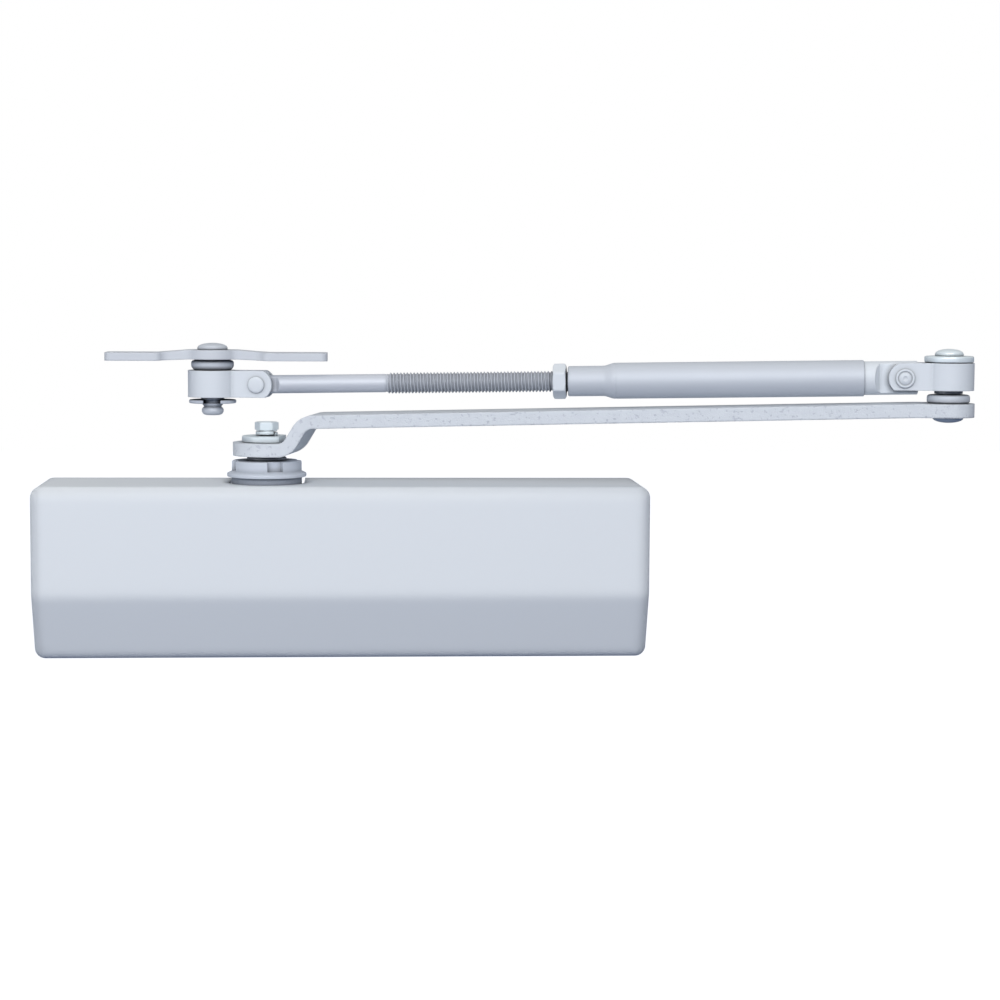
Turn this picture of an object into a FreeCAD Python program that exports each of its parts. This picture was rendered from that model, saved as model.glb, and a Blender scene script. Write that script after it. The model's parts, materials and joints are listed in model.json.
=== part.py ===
import FreeCAD, Part
import math
import os
from types import SimpleNamespace

import Sketcher

# Surface door closer with a folded regular arm, in millimetres.
# Origin: centre of the four fixing holes on the back face. +X runs along the body towards the
# spring end, +Y points back to the door leaf and +Z up along the spindle.

document = FreeCAD.newDocument("door_closer")

# Driving dimensions

DIMENSIONS = (
    ("cover_end_room", 17.2, "inside the cover, beyond each end plug"),
    ("cover_height", 65.0, "cover, outside"),
    ("cover_depth", 46.0, "cover, back plane to front face"),
    ("cover_wall", 1.8, "pressed cover"),
    ("cover_round", 4.0, "edges of the cover"),
    ("cover_bend_drop", 8.0, "bend of the front face under the middle"),
    ("cover_bend_round", 6.0, "radius of that bend"),
    ("cover_slant", 11.0, "setback of the lower edge"),
    ("cover_slot_gap", 0.9, "slot in the cover's top round the boss"),
    ("fixing_edge", 8.0, "fixing holes, from the ends of the plate"),
    ("fixing_span_high", 24.0, "fixing holes, along Z"),
    ("fixing_hole_radius", 2.9, "for 5 mm screws"),
    ("plate_inset", 4.5, "back plate, inside the cover at each end"),
    ("plate_height", 44.0, "back plate of the casting"),
    ("plate_thickness", 6.0, "back plate of the casting"),
    ("plate_round", 8.0, "corners of the back plate"),
    ("spindle_across", 28.5, "spindle axis, left of the middle"),
    ("spindle_depth", 22.0, "spindle axis, in front of the back face"),
    ("barrel_radius", 20.4, "outside of the cylinder"),
    ("piston_rest_gap", 4.1, "left plug to the piston at rest"),
    ("bore_radius", 16.05, "cylinder bore"),
    ("boss_radius", 13.2, "round the spindle, top and bottom"),
    ("boss_rise", 2.35, "upper boss above the cover"),
    ("boss_bottom", 26.4, "drop of the lower boss"),
    ("seat_radius", 11.0, "bearing seats and threads in the bosses"),
    ("bearing_start", 16.5, "inner end of each bearing"),
    ("bearing_length", 6.0, "bearing"),
    ("valve_radius", 3.0, "valve holes"),
    ("valve_depth", 8.0, "valve axes, in front of the back face"),
    ("valve_rise", 15.0, "valve axes, off the middle"),
    ("valve_length", 22.0, "valve spindles"),
    ("valve_slot_width", 0.8, "screwdriver slot"),
    ("valve_slot_depth", 1.2, "screwdriver slot"),
    ("valve_block_length", 34.0, "cast block that holds the valves"),
    ("tab_reach", 60.0, "cover tabs, from the middle"),
    ("tab_width", 14.0, "cover tabs"),
    ("tab_depth", 9.0, "cover tabs"),
    ("tab_gap", 0.1, "cover tabs to the cover"),
    ("web_half_width", 2.0, "webs between the plate and the cylinder"),
    ("cover_screw_radius", 1.6, "cover screws"),
    ("cover_screw_length", 8.0, "cover screws"),
    ("running_gap", 0.05, "radial play of a turning fit"),
    ("seal_gap", 0.3, "play round a soft ring"),
    ("edge_break", 0.3, "broken edge of a turned piece"),
    ("edge_chamfer", 0.6, "chamfer of a turned piece"),
    ("plug_length", 10.0, "screwed part of an end plug"),
    ("plug_flange", 3.5, "flange of an end plug"),
    ("plug_flange_radius", 18.6, "flange of an end plug"),
    ("plug_room", 0.6, "spot face round that flange"),
    ("plug_key", 10.0, "hexagon socket of an end plug, across flats"),
    ("cap_key_depth", 2.5, "hexagon socket of the bottom cap"),
    ("seal_wire", 1.1, "radius of a seal's section"),
    ("shaft_radius", 6.9, "spindle where it turns"),
    ("shaft_foot", 22.2, "drop of the spindle's foot"),
    ("shaft_collar_radius", 8.0, "collars beside the teeth"),
    ("shaft_ring_radius", 7.4, "thin ring under the arm"),
    ("shaft_ring_gap", 0.4, "thin ring above the gland nut"),
    ("shaft_ring_height", 0.7, "thin ring under the arm"),
    ("tooth_module", 2.0, "pinion and rack"),
    ("tooth_count", 8.0, "pinion"),
    ("tooth_shift", 1.1, "profile shift of the pinion"),
    ("tooth_pressure", 20.0, "pressure angle in degrees"),
    ("tooth_tip_radius", 10.4, "pinion outside"),
    ("tooth_play", 0.06, "play on each flank"),
    ("tooth_half_height", 14.5, "toothed part, up and down"),
    ("rack_tip", 2.0, "rack tooth above its datum line"),
    ("rack_root", 1.9, "rack tooth below its datum line"),
    ("piston_radius", 16.0, "piston"),
    ("piston_travel", 23.8, "stroke to the right"),
    ("window_end_gap", 1.2, "window beyond the pinion"),
    ("window_front", 11.0, "front wall of the window"),
    ("piston_head", 14.0, "solid end on the left"),
    ("piston_tail", 20.0, "solid end on the right"),
    ("cup_radius", 12.6, "spring seat in the piston"),
    ("cup_depth", 8.0, "spring seat in the piston"),
    ("band_start", 5.0, "band's groove, from the piston's face"),
    ("band_width", 2.2, "piston band"),
    ("band_depth", 1.5, "piston band"),
    ("band_play", 0.1, "band in its groove"),
    ("check_radius", 3.0, "check valve"),
    ("check_bore", 0.9, "check valve"),
    ("check_depth", 9.0, "hole for the check valve"),
    ("outer_spring_radius", 10.2, "coil axis to wire"),
    ("outer_spring_wire", 1.9, "wire radius"),
    ("outer_spring_turns", 9.0, "coils"),
    ("inner_spring_radius", 5.6, "coil axis to wire"),
    ("inner_spring_wire", 1.3, "wire radius"),
    ("inner_spring_turns", 11.0, "coils"),
    ("gland_flange_radius", 14.9, "flange of the gland nut"),
    ("gland_rim", 0.8, "edge of that flange"),
    ("gland_flange", 1.6, "height of that flange"),
    ("gland_radius", 13.1, "castellated part"),
    ("gland_height", 6.1, "gland nut above the boss"),
    ("gland_shank", 10.2, "screwed part of the gland nut"),
    ("gland_notch_width", 5.9, "spanner notches"),
    ("gland_notch_depth", 2.0, "spanner notches"),
    ("gland_notch_turn", -74.0, "direction of the first notch in degrees"),
    ("arm_gap", 1.85, "arm's head above the gland nut"),
    ("arm_thickness", 5.0, "main arm"),
    ("arm_head_radius", 12.7, "main arm at the spindle"),
    ("arm_end_radius", 9.5, "main arm at the elbow"),
    ("arm_centres", 253.0, "spindle to elbow"),
    ("arm_swing", -9.57, "main arm at rest, in degrees"),
    ("arm_step_start", 11.1, "start of the joggle"),
    ("arm_step_slope", 59.0, "slope of the joggle in degrees"),
    ("arm_step_rise", 10.8, "height of the joggle"),
    ("arm_climb", 6.45, "rise of the straight run"),
    ("arm_flat_end", 12.0, "level stretch at the elbow"),
    ("arm_bend_round", 4.0, "inner radius of the bends"),
    ("spigot_side", 10.0, "square on the spindle"),
    ("spigot_drop", 0.3, "spigot's top under the arm's top"),
    ("washer_radius", 9.3, "flat washer"),
    ("washer_height", 2.4, "flat washer"),
    ("spring_washer_radius", 4.1, "split washer"),
    ("spring_washer_height", 1.8, "split washer"),
    ("bolt_radius", 2.5, "arm bolt"),
    ("bolt_head", 3.4, "arm bolt"),
    ("bolt_flats", 8.0, "arm bolt, across flats"),
    ("bolt_dish_radius", 2.2, "hollow in the bolt's head"),
    ("bolt_dish_depth", 0.35, "hollow in the bolt's head"),
    ("bolt_reach", 15.0, "arm bolt below the arm"),
    ("pin_radius", 3.5, "elbow pin"),
    ("pin_foot_radius", 6.0, "riveted foot of the elbow pin"),
    ("pin_foot", 2.1, "riveted foot of the elbow pin"),
    ("pin_head_radius", 5.15, "head of the elbow pin"),
    ("shoe_head_radius", 5.7, "head of the shoe pin"),
    ("pin_head", 3.0, "heads of the elbow and shoe pins"),
    ("pin_rim", 1.0, "edge of those heads"),
    ("elbow_spacer_radius", 7.8, "washer on the arm"),
    ("elbow_spacer_height", 3.6, "washer on the arm"),
    ("elbow_washer_radius", 9.0, "washer under the pin's head"),
    ("elbow_washer_height", 2.3, "washer under the pin's head"),
    ("eye_radius", 9.2, "rolled eye"),
    ("eye_height", 10.0, "rolled eye"),
    ("eye_bore", 5.2, "rolled eye"),
    ("eye_low_gap", 1.2, "gap under the eye"),
    ("eye_high_gap", 0.2, "gap over the eye"),
    ("elbow_leg_half", 6.6, "outside of the elbow eye's legs"),
    ("shoe_leg_half", 4.7, "outside of the shoe eye's legs"),
    ("leg_play", 0.1, "legs to the flats between them"),
    ("leg_slot_start", 9.0, "start of that gap"),
    ("leg_end_radius", 5.8, "round end of the legs"),
    ("leg_fillet", 1.2, "legs into the eye"),
    ("elbow_rivet_reach", 16.3, "elbow pin to its knuckle rivet"),
    ("shoe_rivet_reach", 17.3, "shoe pin to its knuckle rivet"),
    ("rivet_radius", 2.5, "knuckle rivets"),
    ("rivet_head_radius", 3.5, "rivet head at the elbow"),
    ("shoe_rivet_head_radius", 3.05, "rivet head at the shoe"),
    ("rivet_head_rim", 0.4, "edge of the rivet heads"),
    ("rivet_head", 1.3, "height of the rivet heads"),
    ("forearm_centres", 272.5, "elbow pin to shoe pin, level"),
    ("forearm_heading", 171.55, "elbow to shoe at rest, in degrees"),
    ("elbow_rivet_drop", 0.6, "knuckle rivet under the middle of the eye"),
    ("shoe_rivet_drop", 0.2, "knuckle rivet under the middle of the eye"),
    ("lug_radius", 6.15, "end of the tube at the elbow"),
    ("lug_back", 4.9, "lug beyond the rivet"),
    ("lug_flat", 3.0, "half thickness between the flats"),
    ("lug_flat_end", 8.2, "end of the flats"),
    ("lug_cutter", 2.0, "rounded run-out of the flats"),
    ("tube_start", 14.5, "tube from the rivet"),
    ("tube_taper_start", 106.2, "start of the taper"),
    ("tube_taper_end", 109.5, "end of the taper"),
    ("tube_end", 122.9, "mouth of the tube"),
    ("tube_radius", 6.65, "tube"),
    ("tube_neck_radius", 5.6, "tube at its mouth"),
    ("tube_bore", 4.2, "bore"),
    ("tube_bore_start", 22.0, "blind end of the bore"),
    ("nut_gap", 0.7, "lock nut to the tube's mouth"),
    ("nut_height", 4.8, "lock nut"),
    ("nut_flats", 11.5, "across flats"),
    ("nut_chamfer", 0.5, "chamfered corners"),
    ("rod_inner_end", 60.0, "end of the rod inside the tube"),
    ("rod_plain", 47.8, "plain end of the rod, to the rivet"),
    ("tongue_reach", 7.1, "flats of the rod's end, from the rivet"),
    ("tongue_cutter", 1.5, "rounded run-out of those flats"),
    ("rod_thread_radius", 3.9, "thread, outside"),
    ("rod_radius", 3.4, "plain rod"),
    ("tongue_half_thickness", 2.1, "flat tongue"),
    ("tongue_radius", 3.9, "round end of the tongue"),
    ("shoe_eye_drop", 5.0, "shoe eye below the elbow eye"),
    ("shoe_pin_radius", 4.35, "shoe pin"),
    ("shoe_spacer_radius", 7.95, "spacer under the plate"),
    ("shoe_spacer_soft", 0.9, "lower edge of that spacer"),
    ("shoe_spacer_height", 3.95, "spacer under the plate"),
    ("shoe_plate_thickness", 3.0, "wings of the shoe plate"),
    ("shoe_boss_rise", 0.5, "boss above and wings below each other's faces"),
    ("shoe_boss_flat", 9.0, "half length of the raised middle"),
    ("shoe_slope_end", 21.0, "end of the slopes beside it"),
    ("shoe_plate_length", 82.5, "shoe plate"),
    ("shoe_plate_shift", 1.7, "middle of the plate, right of the pin"),
    ("shoe_neck_half_width", 6.2, "necks beside the boss"),
    ("shoe_lobe_half_width", 8.6, "lobes with the screw holes"),
    ("shoe_lobe_start", 18.5, "start of the lobes"),
    ("shoe_boss_radius", 10.0, "round middle of the plate"),
    ("shoe_sweep", 6.0, "hollow sweeps into the wings"),
    ("shoe_plate_round", 2.5, "corners of the wings"),
    ("shoe_fixing_span", 62.0, "screw holes in the plate"),
    ("shoe_hole_radius", 2.6, "screw holes in the plate"),
    ("clip_radius", 8.8, "retaining clip"),
    ("clip_gap", 1.0, "clip below the eye"),
    ("clip_height", 1.3, "retaining clip"),
    ("clip_groove_radius", 3.2, "groove in the shoe pin"),
    ("clip_mouth", 6.5, "opening of the clip"),
    ("knob_radius", 4.1, "end of the shoe pin"),
    ("knob_drop", 4.5, "end of the shoe pin below the clip"),
    ("knob_height", 3.3, "end of the shoe pin"),
    ("knob_round", 1.2, "edge of that end"),
)


class Size:
    """A number together with the text that ties it to the sheet."""

    def __init__(self, text, value):
        self.text = text
        self.value = value

    @staticmethod
    def of(other):
        if isinstance(other, Size):
            return other
        return Size(repr(float(other)), float(other))

    def __add__(self, other):
        other = Size.of(other)
        return Size("(%s + %s)" % (self.text, other.text), self.value + other.value)

    def __radd__(self, other):
        return Size.of(other) + self

    def __sub__(self, other):
        other = Size.of(other)
        return Size("(%s - %s)" % (self.text, other.text), self.value - other.value)

    def __rsub__(self, other):
        return Size.of(other) - self

    def __mul__(self, other):
        other = Size.of(other)
        return Size("(%s * %s)" % (self.text, other.text), self.value * other.value)

    def __rmul__(self, other):
        return Size.of(other) * self

    def __truediv__(self, other):
        other = Size.of(other)
        return Size("(%s / %s)" % (self.text, other.text), self.value / other.value)

    def __neg__(self):
        return Size.of(0) - self


def ordered(first, second):
    """Two sizes with the smaller one first."""
    return (first, second) if first.value < second.value else (second, first)


def tangent(angle):
    """The tangent of an angle in degrees."""
    angle = Size.of(angle)
    return Size("tan(%s * 1 deg)" % angle.text, math.tan(math.radians(angle.value)))


def root(amount):
    """The square root of a size."""
    amount = Size.of(amount)
    return Size("sqrt(%s)" % amount.text, math.sqrt(amount.value))


def make_sheet():
    """Writes the driving dimensions and gives them back as sizes."""
    sheet = document.addObject("Spreadsheet::Sheet", "Sizes")
    sizes = {}
    for row, (name, value, note) in enumerate(DIMENSIONS, start=1):
        sheet.set("A%d" % row, name)
        sheet.set("B%d" % row, str(value))
        sheet.setAlias("B%d" % row, name)
        sheet.set("C%d" % row, note)
        sizes[name] = Size("Sizes." + name, value)
    document.recompute()
    return SimpleNamespace(**sizes)


s = make_sheet()


def bind(item, name, amount):
    """Ties a property of an object to the sheet."""
    amount = Size.of(amount)
    item.setExpression(name, amount.text)


def place_base(item, x, y, z):
    """Ties the position of an object to the sheet."""
    bind(item, "Placement.Base.x", x)
    bind(item, "Placement.Base.y", y)
    bind(item, "Placement.Base.z", z)


# Sizes that follow from the driving ones

cover_top = s.cover_height / 2
boss_top = cover_top + s.boss_rise
gland_top = boss_top + s.gland_height
shaft_ring_low = gland_top + s.shaft_ring_gap
arm_bottom = gland_top + s.arm_gap
arm_top = arm_bottom + s.arm_thickness
arm_run_start = arm_bottom + s.arm_step_rise
arm_run_end = arm_run_start + s.arm_climb
arm_end_top = arm_run_end + s.arm_thickness
eye_low = arm_end_top + s.elbow_spacer_height + s.eye_low_gap
eye_high = eye_low + s.eye_height
elbow_washer_low = eye_high + s.eye_high_gap
elbow_washer_high = elbow_washer_low + s.elbow_washer_height
elbow_rivet_height = eye_low + s.eye_height / 2 - s.elbow_rivet_drop
shoe_eye_low = eye_low - s.shoe_eye_drop
shoe_eye_high = shoe_eye_low + s.eye_height
shoe_rivet_height = shoe_eye_low + s.eye_height / 2 - s.shoe_rivet_drop
shoe_spacer_low = shoe_eye_high + s.eye_high_gap
shoe_plate_low = shoe_spacer_low + s.shoe_spacer_height
shoe_plate_top = shoe_plate_low + s.shoe_plate_thickness + s.shoe_boss_rise
clip_low = shoe_eye_low - s.clip_gap - s.clip_height
knob_low = clip_low - s.knob_drop
barrel_half_length = (s.spindle_across + s.piston_travel + s.tooth_tip_radius + s.window_end_gap
                      + s.piston_head + s.piston_rest_gap + s.plug_length)
half_length = barrel_half_length + s.plug_flange + s.cover_end_room + s.cover_wall
plate_reach = half_length - s.plate_inset
nut_low = s.tube_end + s.nut_gap
knuckle_span = s.forearm_centres - s.elbow_rivet_reach - s.shoe_rivet_reach
knuckle_drop = elbow_rivet_height - shoe_rivet_height
rod_length = root(knuckle_span * knuckle_span + knuckle_drop * knuckle_drop)
rod_thread_end = rod_length - s.rod_plain

# Building blocks

AXIS_TURNS = {
    "Z": FreeCAD.Rotation(),
    "X": FreeCAD.Rotation(FreeCAD.Vector(0, 1, 0), 90),
    "Y": FreeCAD.Rotation(FreeCAD.Vector(1, 0, 0), -90),
}


def cylinder(radius, low, high, across=(0, 0), axis="Z"):
    """A cylinder from low to high along an axis; across is its centre on the other two axes."""
    item = document.addObject("Part::Cylinder", "Cylinder")
    bind(item, "Radius", radius)
    bind(item, "Height", Size.of(high) - low)
    item.Placement.Rotation = AXIS_TURNS[axis]
    first, second = across
    spots = {"Z": (first, second, low), "X": (low, first, second), "Y": (first, low, second)}
    place_base(item, *spots[axis])
    return item


def block(x, y, z):
    """A box given by its low and high ends along each axis."""
    item = document.addObject("Part::Box", "Block")
    bind(item, "Length", Size.of(x[1]) - x[0])
    bind(item, "Width", Size.of(y[1]) - y[0])
    bind(item, "Height", Size.of(z[1]) - z[0])
    place_base(item, x[0], y[0], z[0])
    return item


def fuse(*pieces):
    """One solid made of several."""
    item = document.addObject("Part::MultiFuse", "Fusion")
    item.Shapes = list(pieces)
    return item


def common(*pieces):
    """What several solids share."""
    item = document.addObject("Part::MultiCommon", "Common")
    item.Shapes = list(pieces)
    return item


def cut(base, *tools):
    """A solid less one or more others."""
    item = document.addObject("Part::Cut", "Cut")
    item.Base = base
    item.Tool = tools[0] if len(tools) == 1 else fuse(*tools)
    return item


def rounded(base, radius, wanted):
    """Rounds the edges of a solid that a test picks."""
    document.recompute()
    item = document.addObject("Part::Fillet", "Fillet")
    item.Base = base
    amount = Size.of(radius).value
    item.Edges = [(number, amount, amount)
                  for number, edge in enumerate(base.Shape.Edges, start=1) if wanted(edge)]
    return item


def runs_along(edge, axis):
    """Whether an edge is straight and runs along X, Y or Z."""
    if not isinstance(edge.Curve, (Part.Line, Part.LineSegment)):
        return False
    direction = edge.tangentAt(edge.FirstParameter)
    return abs(abs(getattr(direction, axis.lower())) - 1) < 1e-6


def arc_about(start, end, radius, left):
    """The arc between two points, its centre to the left or right of the way."""
    (ax, ay), (bx, by) = start, end
    half = math.hypot(bx - ax, by - ay) / 2
    rise = math.sqrt(max(radius * radius - half * half, 0.0))
    side = 1 if left else -1
    cx = (ax + bx) / 2 - side * rise * (by - ay) / (2 * half)
    cy = (ay + by) / 2 + side * rise * (bx - ax) / (2 * half)
    first, last = (start, end) if left else (end, start)
    low = math.atan2(first[1] - cy, first[0] - cx)
    high = math.atan2(last[1] - cy, last[0] - cx)
    if high < low:
        high += 2 * math.pi
    circle = Part.Circle(FreeCAD.Vector(cx, cy, 0), FreeCAD.Vector(0, 0, 1), radius)
    return Part.ArcOfCircle(circle, low, high)


def draw(body, plane, outline):
    """A closed sketch. An outline is points, with ("left" or "right", radius) between two
    points where an arc joins them."""
    origin = [item for item in body.Origin.OriginFeatures if item.Role == plane][0]
    sketch = body.newObject("Sketcher::SketchObject", "Outline")
    sketch.AttachmentSupport = [(origin, "")]
    sketch.MapMode = "FlatFace"
    points = []
    arcs = {}
    for entry in outline:
        if entry[0] in ("left", "right"):
            arcs[len(points) - 1] = entry
        else:
            points.append((Size.of(entry[0]), Size.of(entry[1])))
    ends = []
    for number, (x, y) in enumerate(points):
        following = points[(number + 1) % len(points)]
        start = (x.value, y.value)
        end = (following[0].value, following[1].value)
        if number in arcs:
            side, radius = arcs[number]
            sketch.addGeometry(arc_about(start, end, Size.of(radius).value, side == "left"))
            ends.append((1, 2) if side == "left" else (2, 1))
        else:
            first = FreeCAD.Vector(start[0], start[1], 0)
            last = FreeCAD.Vector(end[0], end[1], 0)
            sketch.addGeometry(Part.LineSegment(first, last))
            ends.append((1, 2))
    for number, (x, y) in enumerate(points):
        following = (number + 1) % len(points)
        sketch.addConstraint(Sketcher.Constraint(
            "Coincident", number, ends[number][1], following, ends[following][0]))
        for kind, amount, axis in (("DistanceX", x, -2), ("DistanceY", y, -1)):
            if amount.text == "0.0":
                sketch.addConstraint(Sketcher.Constraint(
                    "PointOnObject", number, ends[number][0], axis))
                continue
            index = sketch.addConstraint(Sketcher.Constraint(
                kind, -1, 1, number, ends[number][0], amount.value))
            sketch.setExpression("Constraints[%d]" % index, amount.text)
        if number in arcs:
            radius = Size.of(arcs[number][1])
            index = sketch.addConstraint(Sketcher.Constraint("Radius", number, radius.value))
            sketch.setExpression("Constraints[%d]" % index, radius.text)
    return sketch


def turned(outline):
    """A body of revolution about Z; its outline is in radius and height."""
    body = document.addObject("PartDesign::Body", "Turned")
    sketch = draw(body, "XZ_Plane", outline)
    turn = body.newObject("PartDesign::Revolution", "Revolution")
    turn.Profile = sketch
    turn.ReferenceAxis = (sketch, ["V_Axis"])
    turn.Angle = 360
    body.Tip = turn
    return body


def prism(plane, outline, low, high):
    """A body padded from a sketch, from low to high along the plane's normal."""
    body = document.addObject("PartDesign::Body", "Prism")
    sketch = draw(body, plane, outline)
    bind(sketch, ".AttachmentOffset.Base.z", low)
    pad = body.newObject("PartDesign::Pad", "Pad")
    pad.Profile = sketch
    bind(pad, "Length", Size.of(high) - low)
    body.Tip = pad
    return body


def ring(inner, outer, low, high, soft=0):
    """A turned ring, its outer edges chamfered by soft."""
    if not isinstance(soft, Size) and soft == 0:
        return turned([(inner, low), (outer, low), (outer, high), (inner, high)])
    return turned([(inner, low), (outer - soft, low), (outer, low + soft),
                   (outer, high - soft), (outer - soft, high), (inner, high)])


def seal_ring(radius, wire, middle):
    """A round seal about Z."""
    quarter = ("left", wire)
    return turned([(radius - wire, middle), quarter, (radius, middle - wire), quarter,
                   (radius + wire, middle), quarter, (radius, middle + wire), quarter])


def hexagon(flats, low, high):
    """A hexagonal prism about Z, with two flats across X."""
    item = document.addObject("Part::Prism", "Hexagon")
    item.Polygon = 6
    bind(item, "Circumradius", Size.of(flats) / root(3))
    bind(item, "Height", Size.of(high) - low)
    place_base(item, 0, 0, low)
    return item


def dome_radius(half_width, height):
    """The sphere of a dome."""
    return (half_width * half_width + height * height) / (2 * height)


PARTS = []


def keep(name, item, placement=None):
    """Names a finished sub-part and puts it in its place."""
    document.recompute()
    item.Label = name
    if placement is not None:
        item.Placement = placement.multiply(item.Placement)
    PARTS.append(item)
    return item


# Places of the moving bodies at rest

spindle_x = -s.spindle_across
spindle_y = -s.spindle_depth


def turn_z(angle):
    """A turn about Z in degrees."""
    return FreeCAD.Rotation(FreeCAD.Vector(0, 0, 1), angle)


SPINDLE = FreeCAD.Placement(
    FreeCAD.Vector(spindle_x.value, spindle_y.value, 0), turn_z(0))
ARM = FreeCAD.Placement(SPINDLE.Base, turn_z(s.arm_swing.value))
ELBOW = FreeCAD.Placement(
    ARM.multVec(FreeCAD.Vector(s.arm_centres.value, 0, 0)), turn_z(s.forearm_heading.value))
SHOE = FreeCAD.Placement(
    ELBOW.multVec(FreeCAD.Vector(s.forearm_centres.value, 0, 0)),
    turn_z(s.forearm_heading.value + 180))
SHOE_SQUARE = FreeCAD.Placement(SHOE.Base, turn_z(0))
forearm_dip = math.degrees(math.atan2(knuckle_drop.value, knuckle_span.value))
FOREARM = FreeCAD.Placement(
    ELBOW.multVec(FreeCAD.Vector(s.elbow_rivet_reach.value, 0, elbow_rivet_height.value)),
    turn_z(s.forearm_heading.value).multiply(
        FreeCAD.Rotation(FreeCAD.Vector(0, 1, 0), forearm_dip)))
LYING = FreeCAD.Placement(FreeCAD.Vector(0, 0, 0), AXIS_TURNS["X"])

# Cover

def cover_outline(inset, back):
    """The cover's section in Y and Z, set in by a wall."""
    inset = Size.of(inset)
    half_turn = s.cover_slant / (cover_top - s.cover_bend_drop
                                 + root((cover_top - s.cover_bend_drop)
                                        * (cover_top - s.cover_bend_drop)
                                        + s.cover_slant * s.cover_slant))
    slope = s.cover_slant / (cover_top - s.cover_bend_drop)
    front = inset - s.cover_depth
    bend = inset * half_turn - s.cover_bend_drop
    bottom = inset - cover_top
    foot = front + (bend - bottom) * slope
    return [(back, cover_top - inset), (front, cover_top - inset), (front, bend),
            (foot, bottom), (back, bottom)]


def make_cover():
    """Pressed cover: slanted lower face, rounded edges, slot for the spindle's boss."""
    solid = prism("YZ_Plane", cover_outline(0, 0), -half_length, half_length)
    depth = s.cover_depth.value

    def at_bend(edge):
        middle = edge.CenterOfMass
        return runs_along(edge, "X") and abs(middle.y + depth) < 0.01 and middle.z < 0

    def outside(edge):
        middle = edge.CenterOfMass
        on_back = abs(middle.y) < 0.01
        at_end = abs(abs(middle.x) - half_length.value) < 0.01
        lengthwise = runs_along(edge, "X") and abs(middle.z) > cover_top.value - 0.01
        return not on_back and (at_end or lengthwise)

    bent = rounded(solid, s.cover_bend_round, at_bend)
    shell = rounded(bent, s.cover_round, outside)
    hollow = prism("YZ_Plane", cover_outline(s.cover_wall, 1),
                   s.cover_wall - half_length, half_length - s.cover_wall)
    slot = s.boss_radius + s.cover_slot_gap
    above = (cover_top - 2 * s.cover_wall, cover_top + 1)
    tools = [hollow, cylinder(slot, above[0], above[1], (spindle_x, spindle_y)),
             block((spindle_x - slot, spindle_x + slot), (spindle_y, 1), above)]
    for side in (-1, 1):
        tools.append(cylinder(s.cover_screw_radius + s.seal_gap, -cover_top - 1,
                              2 * s.cover_wall - cover_top,
                              (side * s.tab_reach, -s.tab_depth / 2)))
    keep("cover", cut(shell, *tools))


def make_cover_screws():
    """Two pan-head screws under the cover."""
    screws = []
    for side in (-1, 1):
        head = dome_radius(2 * s.cover_screw_radius, s.cover_screw_radius)
        screw = turned([(0, 0), (s.cover_screw_radius, 0),
                        (s.cover_screw_radius, -s.cover_screw_length),
                        (2 * s.cover_screw_radius, -s.cover_screw_length), ("right", head),
                        (0, -s.cover_screw_length - s.cover_screw_radius)])
        place_base(screw, side * s.tab_reach, -s.tab_depth / 2,
                   s.cover_screw_length - cover_top)
        screws.append(screw)
    keep("cover_screws", fuse(*screws))


# Body casting

def fixing_holes():
    """Four holes through the back plate."""
    return [cylinder(s.fixing_hole_radius, -s.plate_thickness - 1, 1,
                     (side * (plate_reach - s.fixing_edge), rise * s.fixing_span_high / 2), "Y")
            for side in (-1, 1) for rise in (-1, 1)]


def make_body():
    """Casting: back plate, cylinder, bosses, valve block and cover tabs."""
    tall = s.plate_height / 2
    plate = rounded(block((-plate_reach, plate_reach), (-s.plate_thickness, 0), (-tall, tall)),
                    s.plate_round, lambda edge: runs_along(edge, "Y"))
    barrel = cylinder(s.barrel_radius, -barrel_half_length, barrel_half_length,
                      (spindle_y, 0), "X")
    boss = cylinder(s.boss_radius, -s.boss_bottom, boss_top, (spindle_x, spindle_y))
    valve_block = block((-barrel_half_length, s.valve_block_length - barrel_half_length),
                        (-s.valve_depth - 2 * s.valve_radius, 0),
                        (-s.valve_rise - 2 * s.valve_radius + 1,
                         s.valve_rise + 2 * s.valve_radius - 1))
    added = [plate, barrel, boss, valve_block]
    removed = [cylinder(s.bore_radius, -barrel_half_length - 1, barrel_half_length + 1,
                        (spindle_y, 0), "X"),
               cylinder(s.seat_radius, -s.boss_bottom - 1, boss_top + 1,
                        (spindle_x, spindle_y))]
    for side in (-1, 1):
        face = side * barrel_half_length
        low, high = ordered(face, face + side * (s.plug_flange + 1))
        removed.append(cylinder(s.plug_flange_radius + s.plug_room, low, high,
                                (spindle_y, 0), "X"))
        web = side * s.tab_reach
        added.append(block((web - s.tab_width / 2, web + s.tab_width / 2),
                           (-s.tab_depth, 0), (s.cover_wall + s.tab_gap - cover_top, 0)))
        added.append(block((web - s.web_half_width, web + s.web_half_width), (spindle_y, 0),
                           (s.web_half_width - tall, tall - s.web_half_width)))
        removed.append(cylinder(s.cover_screw_radius, -cover_top,
                                s.cover_screw_length - cover_top + 0.5,
                                (web, -s.tab_depth / 2)))
        removed.append(cylinder(s.valve_radius, -barrel_half_length - 1,
                                s.valve_length - barrel_half_length + 1,
                                (-s.valve_depth, side * s.valve_rise), "X"))
    casting = cut(fuse(*added), *removed, *fixing_holes())
    keep("body_casting", casting)


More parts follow.
